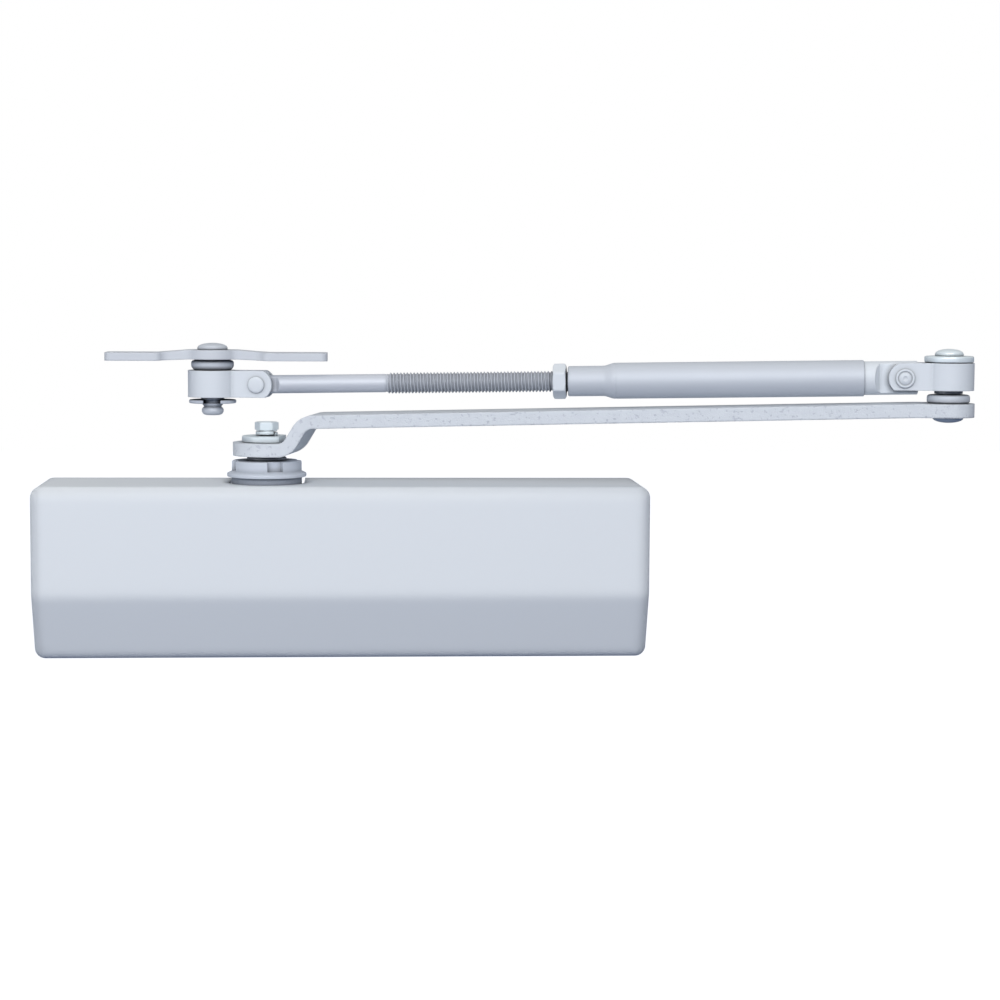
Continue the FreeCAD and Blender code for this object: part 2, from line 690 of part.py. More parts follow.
def make_plug(name, side):
    """End plug with a flange, a hexagon socket and a groove for its seal."""
    radius = s.bore_radius - s.running_gap
    groove = radius - 2 * s.seal_wire
    middle = -s.plug_length / 2
    shape = turned([(0, -s.plug_length), (radius, -s.plug_length),
                    (radius, middle - s.seal_wire), (groove, middle - s.seal_wire),
                    (groove, middle + s.seal_wire), (radius, middle + s.seal_wire),
                    (radius, 0), (s.plug_flange_radius, 0),
                    (s.plug_flange_radius, s.plug_flange - s.edge_chamfer),
                    (s.plug_flange_radius - s.edge_chamfer, s.plug_flange),
                    (0, s.plug_flange)])
    socket = hexagon(s.plug_key, -s.plug_flange, s.plug_flange + 1)
    plug = cut(shape, socket)
    seal = seal_ring(groove + s.seal_wire, s.seal_wire - s.running_gap, middle)
    turn = AXIS_TURNS["X"] if side > 0 else FreeCAD.Rotation(FreeCAD.Vector(0, 1, 0), -90)
    place = FreeCAD.Placement(FreeCAD.Vector(
        side * barrel_half_length.value, spindle_y.value, 0), turn)
    keep(name + "_end_plug", plug, place)
    keep(name + "_plug_seal", seal, place)


def make_bearings():
    """Bearing rings above and below the teeth."""
    for name, low in (("top", s.bearing_start), ("bottom", -s.bearing_start - s.bearing_length)):
        keep(name + "_bearing",
             ring(s.shaft_radius + s.running_gap, s.seat_radius, low, low + s.bearing_length, 0),
             SPINDLE)


def make_bottom_cap():
    """Screwed cap with a hexagon socket under the lower bearing."""
    low = -s.boss_bottom
    high = -s.bearing_start - s.bearing_length
    plain = turned([(0, low), (s.seat_radius - s.edge_chamfer, low),
                    (s.seat_radius, low + s.edge_chamfer), (s.seat_radius, high), (0, high)])
    socket = hexagon(s.plug_key, low - 1, low + s.cap_key_depth)
    keep("bottom_cap", cut(plain, socket), SPINDLE)


def make_gland():
    """Castellated gland nut with its sloping flange, and the shaft seal inside it."""
    bore = s.shaft_radius + s.running_gap
    foot = boss_top - s.gland_shank
    groove_low = foot + 4
    groove_high = groove_low + 2 * s.seal_wire + 0.2
    groove = s.shaft_radius + s.seal_gap + 2 * s.seal_wire
    blank = turned([(bore, foot), (s.seat_radius, foot), (s.seat_radius, boss_top),
                    (s.gland_flange_radius, boss_top),
                    (s.gland_flange_radius, boss_top + s.gland_rim),
                    (s.gland_radius, boss_top + s.gland_flange),
                    (s.gland_radius, gland_top - s.edge_chamfer),
                    (s.gland_radius - s.edge_chamfer, gland_top),
                    (bore, gland_top), (bore, groove_high), (groove, groove_high),
                    (groove, groove_low), (bore, groove_low)])
    notches = []
    for number in range(4):
        notch = block((s.gland_radius - s.gland_notch_depth, s.gland_radius + 1),
                      (-s.gland_notch_width / 2, s.gland_notch_width / 2),
                      (boss_top + s.gland_flange + s.edge_break, gland_top + 1))
        angle = s.gland_notch_turn.value + 90 * number
        turned_notch = document.addObject("Part::Compound", "Notch")
        turned_notch.Links = [notch]
        turned_notch.Placement = FreeCAD.Placement(FreeCAD.Vector(0, 0, 0), turn_z(angle))
        notches.append(turned_notch)
    keep("gland_nut", cut(blank, *notches), SPINDLE)
    keep("shaft_seal", seal_ring(groove - s.seal_wire, s.seal_wire,
                                 (groove_low + groove_high) / 2), SPINDLE)


def make_valves():
    """Slotted adjusting valves for the closing and the latching speed."""
    radius = s.valve_radius - s.running_gap
    for name, side in (("closing", 1), ("latching", -1)):
        stem = turned([(0, 0), (radius, 0), (radius, s.valve_length * 0.6),
                       (radius * 0.55, s.valve_length * 0.75), (0, s.valve_length)])
        slot = block((-radius - 1, radius + 1),
                     (-s.valve_slot_width / 2, s.valve_slot_width / 2),
                     (-s.valve_slot_depth, s.valve_slot_depth))
        place = FreeCAD.Placement(FreeCAD.Vector(
            -barrel_half_length.value, -s.valve_depth.value, side * s.valve_rise.value),
            AXIS_TURNS["X"])
        keep(name + "_valve", cut(stem, slot), place)


# Rack and pinion

pitch_radius = s.tooth_module * s.tooth_count / 2
rack_datum = pitch_radius + s.tooth_shift
rack_tip_line = rack_datum - s.rack_tip
rack_root_line = rack_datum + s.rack_root
tooth_pitch = s.tooth_module * math.pi


def tooth_outline():
    """The pinion's section: involute flanks from the base circle, radial ones below it."""
    pressure = math.radians(s.tooth_pressure.value)
    pitch = pitch_radius.value
    base = pitch * math.cos(pressure)
    tip = s.tooth_tip_radius.value
    bottom = rack_datum.value - s.rack_tip.value - 0.5
    thickness = (tooth_pitch.value / 2 + 2 * s.tooth_shift.value * math.tan(pressure)
                 - 2 * s.tooth_play.value)
    half = thickness / (2 * pitch) + math.tan(pressure) - pressure
    count = int(s.tooth_count.value)
    start = math.radians(90 - s.arm_swing.value)
    steps = 5

    def point(radius, angle):
        return FreeCAD.Vector(radius * math.cos(angle), radius * math.sin(angle), 0)

    def flank(middle, side):
        places = []
        for step in range(steps + 1):
            radius = base + (tip - base) * step / steps
            rolled = math.acos(min(base / radius, 1.0))
            away = half - (math.tan(rolled) - rolled)
            places.append(point(radius, middle + side * away))
        return places

    edges = []
    for number in range(count):
        middle = start + (number + 0.5) * 2 * math.pi / count
        following = middle + 2 * math.pi / count
        rising = flank(middle, -1)
        falling = flank(middle, 1)
        falling.reverse()
        low_start = point(bottom, middle - half)
        low_end = point(bottom, middle + half)
        next_start = point(bottom, following - half)
        edges.append(Part.makeLine(low_start, rising[0]))
        for curve_points in (rising, falling):
            curve = Part.BSplineCurve()
            curve.interpolate(curve_points)
            if curve_points is falling:
                edges.append(Part.Arc(rising[-1], point(tip, middle), falling[0]).toShape())
            edges.append(curve.toShape())
        edges.append(Part.makeLine(falling[-1], low_end))
        between = point(bottom, (middle + following) / 2)
        edges.append(Part.Arc(low_end, between, next_start).toShape())
    return Part.Face(Part.Wire(Part.__sortEdges__(edges)))


def make_pinion():
    """Spindle with its teeth, collars, square spigot and bolt hole."""
    teeth = document.addObject("Part::Feature", "Teeth")
    height = s.tooth_half_height.value
    section = tooth_outline()
    section.translate(FreeCAD.Vector(0, 0, -height))
    teeth.Shape = section.extrude(FreeCAD.Vector(0, 0, 2 * height))
    collar = s.bearing_start - s.seal_gap
    ring_top = shaft_ring_low + s.shaft_ring_height
    side = s.spigot_side / 2
    core = turned([(0, -s.shaft_foot), (s.shaft_radius - s.edge_chamfer, -s.shaft_foot),
                   (s.shaft_radius, s.edge_chamfer - s.shaft_foot), (s.shaft_radius, -collar),
                   (s.shaft_collar_radius, -collar),
                   (s.shaft_collar_radius, -s.tooth_half_height),
                   (rack_tip_line - 1, -s.tooth_half_height),
                   (rack_tip_line - 1, s.tooth_half_height),
                   (s.shaft_collar_radius, s.tooth_half_height),
                   (s.shaft_collar_radius, collar), (s.shaft_radius, collar),
                   (s.shaft_radius, shaft_ring_low),
                   (s.shaft_ring_radius, shaft_ring_low),
                   (s.shaft_ring_radius, ring_top), (s.shaft_radius, ring_top),
                   (s.shaft_radius, arm_bottom), (0, arm_bottom)])
    spigot_top = arm_bottom + s.arm_thickness - s.spigot_drop
    spigot = block((-side, side), (-side, side), (arm_bottom - 1, spigot_top))
    hole = cylinder(s.bolt_radius + s.running_gap,
                    arm_bottom - s.bolt_reach - 1, spigot_top + 1)
    keep("pinion_shaft", cut(fuse(teeth, core, spigot), hole), ARM)


def make_piston():
    """Piston with its window, rack, spring seat and check valve."""
    window_left = -s.piston_travel - s.tooth_tip_radius - s.window_end_gap
    window_right = s.tooth_tip_radius + s.window_end_gap
    flank = tangent(s.tooth_pressure)
    half_tooth = tooth_pitch / 4 - s.tooth_play
    tip_half = half_tooth - s.rack_tip * flank
    root_half = half_tooth + s.rack_root * flank
    outline = [(window_left, -s.window_front), (window_right, -s.window_front),
               (window_right, rack_root_line)]
    for number in range(1, -6, -1):
        middle = number * tooth_pitch
        outline += [(middle + root_half, rack_root_line), (middle + tip_half, rack_tip_line),
                    (middle - tip_half, rack_tip_line), (middle - root_half, rack_root_line)]
    outline.append((window_left, rack_root_line))
    window = prism("XY_Plane", outline, -s.piston_radius - 1, s.piston_radius + 1)
    left = window_left - s.piston_head
    right = window_right + s.piston_tail
    slug = cylinder(s.piston_radius, left, right, axis="X")
    cup = cylinder(s.cup_radius, right - s.cup_depth, right + 1, axis="X")
    band_low = left + s.band_start
    band_high = band_low + s.band_width
    groove = cut(cylinder(s.piston_radius + 1, band_low - s.band_play,
                          band_high + s.band_play, axis="X"),
                 cylinder(s.piston_radius - s.band_depth - s.band_play, left, right, axis="X"))
    valve_seat = cylinder(s.check_radius, left - 1, left + s.check_depth, axis="X")
    keep("piston", cut(slug, window, cup, groove, valve_seat), SPINDLE)
    band = ring(s.piston_radius - s.band_depth, s.piston_radius, band_low, band_high)
    keep("piston_ring", band, SPINDLE.multiply(LYING))
    insert = turned([(s.check_bore, left + s.edge_chamfer),
                     (s.check_radius, left + s.edge_chamfer),
                     (s.check_radius, left + s.check_depth - s.edge_chamfer),
                     (s.check_bore, left + s.check_depth - s.edge_chamfer)])
    keep("check_valve", insert, SPINDLE.multiply(LYING))
    return right


def helix_spring(radius, wire, turns, low, high):
    """A coil spring about X from low to high."""
    pitch = (high - low - 2 * wire) / turns
    path = Part.makeHelix(pitch, pitch * turns, radius)
    section = Part.Wire(Part.makeCircle(wire, FreeCAD.Vector(radius, 0, 0),
                                        FreeCAD.Vector(0, 1, 0)))
    coil = Part.Wire(path).makePipeShell([section], True, True)
    coil.translate(FreeCAD.Vector(0, 0, low + wire))
    return coil


def make_springs(piston_right):
    """Outer and inner closing springs between the piston and the right plug."""
    plug_face = barrel_half_length.value - s.plug_length.value - spindle_x.value
    start = (piston_right - s.cup_depth).value
    for name, radius, wire, turns in (
            ("outer", s.outer_spring_radius, s.outer_spring_wire, s.outer_spring_turns),
            ("inner", s.inner_spring_radius, s.inner_spring_wire, s.inner_spring_turns)):
        spring = document.addObject("Part::Feature", "Spring")
        spring.Shape = helix_spring(radius.value, wire.value, turns.value,
                                    start + s.seal_gap.value, plug_face - s.seal_gap.value)
        keep("closing_spring_" + name, spring, SPINDLE.multiply(LYING))


# Main arm

def mitre(angle_before, angle_after, thickness):
    """How far a bend's outer corner lies from its inner one, along X and Z."""
    middle = math.radians((angle_before + angle_after) / 2)
    half = math.radians((angle_after - angle_before) / 2)
    length = thickness / math.cos(half)
    return -length * math.sin(middle), length * math.cos(middle)


def make_main_arm():
    """Flat bar with a joggle, wide at the spindle and narrower at the elbow."""
    step_end = s.arm_step_start + (arm_run_start - arm_bottom) / tangent(s.arm_step_slope)
    flat_start = s.arm_centres - s.arm_flat_end
    rise = (arm_run_end - arm_run_start).value / (flat_start - step_end).value
    climb = math.degrees(math.atan(rise))
    slope = s.arm_step_slope.value
    thick = s.arm_thickness.value
    low_x, low_z = mitre(0, slope, thick)
    top_x, top_z = mitre(slope, climb, thick)
    end = s.arm_centres + s.arm_end_radius + 1
    start = -s.arm_head_radius - 1
    strip = prism("XZ_Plane", [
        (start, arm_bottom), (s.arm_step_start, arm_bottom), (step_end, arm_run_start),
        (flat_start, arm_run_end), (end, arm_run_end), (end, arm_end_top),
        (flat_start, arm_end_top), (step_end + top_x, arm_run_start + top_z),
        (s.arm_step_start + low_x, arm_bottom + low_z), (start, arm_top)],
        -s.arm_head_radius, s.arm_head_radius)
    inner = s.arm_bend_round.value
    outer = inner + thick
    hollow_bends = ((step_end.value, arm_run_start.value),
                    (s.arm_step_start.value + low_x, arm_bottom.value + low_z))
    full_bends = ((s.arm_step_start.value, arm_bottom.value),
                  (step_end.value + top_x, arm_run_start.value + top_z))

    def near(edge, corners):
        middle = edge.CenterOfMass
        return runs_along(edge, "Y") and any(
            math.hypot(middle.x - x, middle.z - z) < 0.05 for x, z in corners)

    bent = rounded(strip, inner, lambda edge: near(edge, hollow_bends))
    bent = rounded(bent, outer, lambda edge: near(edge, full_bends))
    taper = (s.arm_head_radius - s.arm_end_radius) / s.arm_centres
    along = root(1 - taper * taper)
    head = s.arm_head_radius
    tail = s.arm_end_radius
    plan = prism("XY_Plane", [
        (head * taper, head * along), ("left", head), (-head, 0), ("left", head),
        (head * taper, -head * along), (s.arm_centres + tail * taper, -tail * along),
        ("left", tail), (s.arm_centres + tail, 0), ("left", tail),
        (s.arm_centres + tail * taper, tail * along)], arm_bottom - 1, arm_end_top + 1)
    side = s.spigot_side / 2 + s.running_gap
    square = block((-side, side), (-side, side), (arm_bottom - 1, arm_top + 1))
    hole = cylinder(s.pin_radius, arm_run_end - 1, arm_end_top + 1, (s.arm_centres, 0))
    keep("main_arm", cut(common(bent, plan), square, hole), ARM)


def make_arm_fastener():
    """Bolt, split washer and flat washer that hold the arm on its square."""
    washer_top = arm_top + s.washer_height
    split_top = washer_top + s.spring_washer_height
    head_top = split_top + s.bolt_head
    hole = s.bolt_radius + s.running_gap
    disc = ring(hole, s.washer_radius, arm_top, washer_top, s.seal_gap)
    bend = mitre(0, s.arm_step_slope.value, s.arm_thickness.value)[0]
    flat = s.arm_step_start + bend - s.arm_bend_round * tangent(s.arm_step_slope / 2)
    trim = block((flat, s.washer_radius + 1), (-s.washer_radius - 1, s.washer_radius + 1),
                 (arm_top - 1, washer_top + 1))
    keep("arm_washer", cut(disc, trim), ARM)
    split = ring(hole, s.spring_washer_radius, washer_top, split_top)
    gap = block((0, s.spring_washer_radius + 1), (-s.edge_break, s.edge_break),
                (washer_top - 1, split_top + 1))
    keep("arm_spring_washer", cut(split, gap), ARM)
    corner = s.bolt_flats / root(3)
    dish = head_top - s.bolt_dish_depth
    dished = turned([(0, split_top), (corner + s.running_gap, split_top),
                     (corner + s.running_gap, head_top - s.edge_chamfer),
                     (corner - s.edge_chamfer, head_top), (s.bolt_dish_radius, head_top),
                     (s.bolt_dish_radius - s.edge_break, dish), (0, dish)])
    head = common(hexagon(s.bolt_flats, split_top, head_top), dished)
    shank = cylinder(s.bolt_radius, arm_bottom - s.bolt_reach, head_top - s.bolt_head / 2)
    keep("arm_bolt", fuse(head, shank), SPINDLE)


# Elbow

def make_eye(name, low, knuckle, half, between, place):
    """Rolled eye with two legs. knuckle is the rivet's reach and height, half the outside of
    the legs and between half the thickness that they hold."""
    high = low + s.eye_height
    rivet_reach, rivet_height = knuckle
    reach = rivet_reach + s.leg_end_radius
    slot_half = between + s.leg_play
    blank = fuse(cylinder(s.eye_radius, low, high),
                 block((0, rivet_reach), (-half, half), (low, high)))

    def where_they_meet(edge):
        middle = edge.CenterOfMass
        return runs_along(edge, "Z") and abs(
            math.hypot(middle.x, middle.y) - s.eye_radius.value) < 0.01 and middle.x > 1

    barrel = rounded(blank, s.leg_fillet, where_they_meet)
    tip = common(cylinder(s.leg_end_radius, -half, half, (rivet_reach, rivet_height), "Y"),
                 block((rivet_reach - 1, reach), (-half, half), (low, high)))
    slot = block((s.leg_slot_start, reach + 1), (-slot_half, slot_half), (low - 1, high + 1))
    bore = cylinder(s.eye_bore, low - 1, high + 1)
    hole = cylinder(s.rivet_radius, -half - 1, half + 1, (rivet_reach, rivet_height), "Y")
    keep(name, cut(fuse(barrel, tip), slot, bore, hole), place)


def make_rivet(name, head_radius, knuckle, half, place):
    """Knuckle rivet with two low domed heads."""
    rim = s.rivet_head_rim
    dome = dome_radius(head_radius - rim, s.rivet_head - rim)
    outline = [(0, -half - s.rivet_head), ("left", dome), (head_radius - rim, -half - rim),
               (head_radius, -half - rim), (head_radius, -half), (s.rivet_radius, -half),
               (s.rivet_radius, half), (head_radius, half), (head_radius, half + rim),
               (head_radius - rim, half + rim), ("left", dome), (0, half + s.rivet_head)]
    rivet = turned(outline)
    lying = FreeCAD.Placement(FreeCAD.Vector(knuckle[0].value, 0, knuckle[1].value),
                              AXIS_TURNS["Y"])
    keep(name, rivet, place.multiply(lying))


def make_elbow():
    """Pin, spacer, bush, washer, eye and rivet of the elbow."""
    head_top = elbow_washer_high + s.pin_head
    foot_dome = dome_radius(s.pin_foot_radius, s.pin_foot)
    head_dome = dome_radius(s.pin_head_radius, s.pin_head - s.pin_rim)
    pin = turned([(0, arm_run_end - s.pin_foot), ("left", foot_dome),
                  (s.pin_foot_radius, arm_run_end), (s.pin_radius, arm_run_end),
                  (s.pin_radius, elbow_washer_high), (s.pin_head_radius, elbow_washer_high),
                  (s.pin_head_radius, elbow_washer_high + s.pin_rim), ("left", head_dome),
                  (0, head_top)])
    place = FreeCAD.Placement(ELBOW.Base, turn_z(s.arm_swing.value))
    bush = s.eye_bore - s.running_gap
    spacer_top = arm_end_top + s.elbow_spacer_height
    keep("elbow_pin", pin, place)
    keep("elbow_spacer", ring(s.pin_radius, s.elbow_spacer_radius, arm_end_top, spacer_top,
                              s.edge_break), place)
    keep("elbow_bush", ring(s.pin_radius, bush, spacer_top, elbow_washer_low), place)
    keep("elbow_washer", ring(s.pin_radius, s.elbow_washer_radius, elbow_washer_low,
                              elbow_washer_high, s.edge_break), place)
    knuckle = (s.elbow_rivet_reach, elbow_rivet_height)
    make_eye("elbow_eye", eye_low, knuckle, s.elbow_leg_half, s.lug_flat, ELBOW)
    make_rivet("elbow_rivet", s.rivet_head_radius, knuckle, s.elbow_leg_half, ELBOW)


# Forearm: X runs from the elbow's rivet to the shoe's

def make_tube():
    """Tube with its neck and blind bore, and the flattened lug in its end."""
    shell = turned([(0, s.tube_start), (s.tube_radius, s.tube_start),
                    (s.tube_radius, s.tube_taper_start), (s.tube_neck_radius, s.tube_taper_end),
                    (s.tube_neck_radius, s.tube_end - s.edge_break),
                    (s.tube_neck_radius - s.edge_break, s.tube_end), (s.tube_bore, s.tube_end),
                    (s.tube_bore, s.tube_bore_start), (0, s.tube_bore_start - 2)])
    keep("forearm_tube", shell, FOREARM.multiply(LYING))
    bar = cylinder(s.lug_radius, -s.lug_back, s.tube_start, axis="X")
    flats = []
    tall = (-s.lug_radius - 1, s.lug_radius + 1)
    for side in (-1, 1):
        near = side * s.lug_flat
        middle = side * (s.lug_flat + s.lug_cutter)
        far = side * (s.lug_radius + 1)
        flats.append(block((-s.lug_back - 1, s.lug_flat_end), ordered(near, far), tall))
        flats.append(block((-s.lug_back - 1, s.lug_flat_end + s.lug_cutter),
                           ordered(middle, far), tall))
        flats.append(cylinder(s.lug_cutter, tall[0], tall[1], (s.lug_flat_end, middle)))
    hole = cylinder(s.rivet_radius + s.running_gap, -s.lug_radius - 1, s.lug_radius + 1,
                    axis="Y")
    keep("tube_lug", cut(bar, *flats, hole), FOREARM)


def make_lock_nut():
    """Chamfered hexagon nut against the tube's mouth."""
    low = nut_low
    high = low + s.nut_height
    corner = s.nut_flats / root(3)
    soft = s.nut_chamfer
    turned_nut = turned([(s.rod_thread_radius + s.running_gap, low),
                         (corner - soft, low), (corner + s.running_gap, low + soft),
                         (corner + s.running_gap, high - soft), (corner - soft, high),
                         (s.rod_thread_radius + s.running_gap, high)])
    nut = common(hexagon(s.nut_flats, low, high), turned_nut)
    keep("lock_nut", nut, FOREARM.multiply(LYING))


def make_rod():
    """Threaded rod, plain further out, with flats at its end and an eye for the rivet."""
    inner = s.rod_inner_end
    bar = turned([(0, inner), (s.rod_thread_radius - s.edge_chamfer, inner),
                  (s.rod_thread_radius, inner + s.edge_chamfer),
                  (s.rod_thread_radius, rod_thread_end),
                  (s.rod_radius, rod_thread_end + s.edge_break), (s.rod_radius, rod_length),
                  (0, rod_length)])
    bar.Placement = LYING
    flats_start = rod_length - s.tongue_reach
    end = rod_length + s.tongue_radius
    half = s.tongue_half_thickness
    tall = (-s.rod_radius - 1, s.rod_radius + 1)
    flats = []
    for side in (-1, 1):
        middle = side * (half + s.tongue_cutter)
        far = side * (s.rod_radius + 1)
        flats.append(block((flats_start, end), ordered(side * half, far), tall))
        flats.append(cylinder(s.tongue_cutter, tall[0], tall[1], (flats_start, middle)))
    eye = cylinder(s.tongue_radius, -half, half, (rod_length, 0), "Y")
    hole = cylinder(s.rivet_radius + s.running_gap, -half - 1, half + 1, (rod_length, 0), "Y")
    keep("threaded_rod", cut(fuse(cut(bar, *flats), eye), hole), FOREARM)


# Shoe

def shoe_blank():
    """The plate before its holes: a raised boss, two necks and two lobes."""
    reach = s.shoe_plate_length / 2
    ends = (s.shoe_plate_shift - reach, s.shoe_plate_shift + reach)
    over = shoe_plate_top + 1
    under = shoe_plate_low - s.shoe_boss_rise - 1
    boss = cylinder(s.shoe_boss_radius, under, over)
    neck = block((-s.shoe_lobe_start - 1, s.shoe_lobe_start + 1),
                 (-s.shoe_neck_half_width, s.shoe_neck_half_width), (under, over))
    lobes = []
    for side, end in zip((-1, 1), ends):
        lobe = block(ordered(side * s.shoe_lobe_start, end),
                     (-s.shoe_lobe_half_width, s.shoe_lobe_half_width), (under, over))
        lobes.append(rounded(lobe, s.shoe_plate_round, lambda edge: runs_along(edge, "Z")))
    meets = s.shoe_boss_radius.value

    def hollow(edge):
        middle = edge.CenterOfMass
        on_neck = abs(abs(middle.y) - s.shoe_neck_half_width.value) < 0.01
        return runs_along(edge, "Z") and on_neck and (
            abs(math.hypot(middle.x, middle.y) - meets) < 0.01
            or abs(abs(middle.x) - s.shoe_lobe_start.value) < 0.01)

    plan = rounded(fuse(boss, neck, *lobes), s.shoe_sweep / 2, hollow)
    wing_low = shoe_plate_low - s.shoe_boss_rise
    wing_top = wing_low + s.shoe_plate_thickness
    section = prism("XZ_Plane", [
        (ends[0], wing_low), (-s.shoe_slope_end, wing_low), (-s.shoe_boss_flat, shoe_plate_low),
        (s.shoe_boss_flat, shoe_plate_low), (s.shoe_slope_end, wing_low), (ends[1], wing_low),
        (ends[1], wing_top), (s.shoe_slope_end, wing_top), (s.shoe_boss_flat, shoe_plate_top),
        (-s.shoe_boss_flat, shoe_plate_top), (-s.shoe_slope_end, wing_top),
        (ends[0], wing_top)], -s.shoe_boss_radius - 1, s.shoe_boss_radius + 1)
    return common(plan, section)


def make_shoe():
    """Eye, bush, rivet, pin, spacer, clip and screw-on plate at the frame."""
    knuckle = (s.shoe_rivet_reach, shoe_rivet_height)
    make_eye("shoe_eye", shoe_eye_low, knuckle, s.shoe_leg_half, s.tongue_half_thickness, SHOE)
    make_rivet("shoe_rivet", s.shoe_rivet_head_radius, knuckle, s.shoe_leg_half, SHOE)
    keep("shoe_bush", ring(s.shoe_pin_radius + s.running_gap, s.eye_bore,
                           shoe_eye_low - s.eye_high_gap, shoe_eye_high + s.eye_high_gap / 2),
         SHOE)
    clip_top = clip_low + s.clip_height
    knob_top = knob_low + s.knob_height
    play = s.running_gap
    neck = s.shoe_pin_radius - s.edge_chamfer
    head_dome = dome_radius(s.shoe_head_radius, s.pin_head - s.pin_rim)
    pin = turned([(0, knob_low + s.edge_break), (s.knob_round, knob_low),
                  (s.knob_radius - s.knob_round, knob_low), ("left", s.knob_round),
                  (s.knob_radius, knob_low + s.knob_round),
                  (s.knob_radius, knob_top - s.edge_chamfer), (neck, knob_top),
                  (neck, clip_low - s.edge_chamfer), (s.shoe_pin_radius, clip_low - play),
                  (s.clip_groove_radius, clip_low - play),
                  (s.clip_groove_radius, clip_top + play),
                  (s.shoe_pin_radius, clip_top + play), (s.shoe_pin_radius, shoe_plate_top),
                  (s.shoe_head_radius, shoe_plate_top),
                  (s.shoe_head_radius, shoe_plate_top + s.pin_rim), ("left", head_dome),
                  (0, shoe_plate_top + s.pin_head)])
    keep("shoe_pin", pin, SHOE_SQUARE)
    keep("shoe_spacer", turned([
        (s.shoe_pin_radius, shoe_spacer_low),
        (s.shoe_spacer_radius - s.shoe_spacer_soft, shoe_spacer_low),
        (s.shoe_spacer_radius, shoe_spacer_low + s.shoe_spacer_soft),
        (s.shoe_spacer_radius, shoe_plate_low - s.edge_break),
        (s.shoe_spacer_radius - s.edge_break, shoe_plate_low),
        (s.shoe_pin_radius, shoe_plate_low)]), SHOE_SQUARE)
    disc = ring(s.clip_groove_radius + s.running_gap, s.clip_radius, clip_low, clip_top,
                s.edge_break)
    mouth = block((-s.clip_mouth / 2, s.clip_mouth / 2), (-s.clip_radius - 1, 0),
                  (clip_low - 1, clip_top + 1))
    keep("shoe_clip", cut(disc, mouth), SHOE_SQUARE)
    holes = [cylinder(s.shoe_hole_radius, shoe_eye_high, shoe_plate_top + 1,
                      (s.shoe_plate_shift + side * s.shoe_fixing_span / 2, 0))
             for side in (-1, 1)]
    centre = cylinder(s.shoe_pin_radius, shoe_eye_high, shoe_plate_top + 1)
    keep("shoe_plate", cut(shoe_blank(), centre, *holes), SHOE_SQUARE)


def check_and_write():
    """Stops on a failed object or a bad shape, then writes one file for each sub-part."""
    document.recompute()
    failed = [item.Label for item in document.Objects
              if "Invalid" in item.State or "Error" in item.State]
    if failed:
        raise RuntimeError("failed objects: " + ", ".join(failed))
    for item in PARTS:
        if item.Shape.isNull() or not item.Shape.isValid() or not item.Shape.Solids:
            raise RuntimeError("bad shape: " + item.Label)
    os.makedirs("parts", exist_ok=True)
    for item in PARTS:
        item.Shape.exportStep("parts/" + item.Label + ".step")
        print("%-22s %2d solid(s) %10.1f mm3" % (
            item.Label, len(item.Shape.Solids), item.Shape.Volume))


make_cover()
make_cover_screws()
make_body()
make_plug("left", -1)
make_plug("right", 1)
make_bearings()
make_bottom_cap()
make_gland()
make_valves()
make_pinion()
piston_end = make_piston()
make_springs(piston_end)
make_main_arm()
make_arm_fastener()
make_elbow()
make_tube()
make_lock_nut()
make_rod()
make_shoe()
check_and_write()
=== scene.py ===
"""Studio scene of a surface door closer with a folded arm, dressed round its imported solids."""

import json
import logging
import math
from collections.abc import Callable
from dataclasses import dataclass
from enum import Enum

import bmesh
import bpy
from mathutils import Matrix, Quaternion, Vector


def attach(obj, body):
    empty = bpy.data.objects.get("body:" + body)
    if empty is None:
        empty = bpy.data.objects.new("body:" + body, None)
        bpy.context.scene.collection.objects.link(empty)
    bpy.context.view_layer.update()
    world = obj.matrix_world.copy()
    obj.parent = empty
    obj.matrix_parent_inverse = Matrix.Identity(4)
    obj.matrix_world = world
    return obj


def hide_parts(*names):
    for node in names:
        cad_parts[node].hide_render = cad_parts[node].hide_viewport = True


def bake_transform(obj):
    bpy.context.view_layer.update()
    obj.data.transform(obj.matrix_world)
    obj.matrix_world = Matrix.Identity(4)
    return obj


LOG = logging.getLogger("door_closer")

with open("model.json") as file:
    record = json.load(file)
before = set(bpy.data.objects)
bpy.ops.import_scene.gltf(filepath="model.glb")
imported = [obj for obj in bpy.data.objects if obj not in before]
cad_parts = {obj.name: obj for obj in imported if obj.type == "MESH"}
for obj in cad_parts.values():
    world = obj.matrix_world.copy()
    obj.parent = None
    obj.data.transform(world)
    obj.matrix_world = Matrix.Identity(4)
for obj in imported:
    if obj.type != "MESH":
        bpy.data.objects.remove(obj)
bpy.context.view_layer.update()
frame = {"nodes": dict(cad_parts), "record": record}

Outline = list[tuple[float, float]]
Corner = tuple[float, float, float]
Colour = tuple[float, float, float]
Spot = tuple[float, float, float]
Reach = Callable[[float, float, float], float]
Values = dict[str | int, object]
Wire = tuple[bpy.types.Node, str | int, bpy.types.Node, str | int]

ROUND_STEPS = 5
ON_AXIS = 1e-6
SPECULAR_LEVEL = 0.35
WEAR_SIZE = 1.6
DRAWN_STRETCH = (0.05, 1.0, 1.0)
WHITE = (1.0, 1.0, 1.0, 1.0)


def mm(amount: float) -> float:
    """Millimetres in metres."""
    return amount / 1000.0


def even_turns(count: int) -> list[float]:
    """Turns at an even spacing round a circle."""
    return [math.tau * step / count for step in range(count)]


def steps_between(start: float, end: float, count: int) -> list[float]:
    """Even steps from start to end, both included."""
    return [start + (end - start) * step / count for step in range(count + 1)]


FULL_TURN = even_turns(96)


# Places of the moving bodies

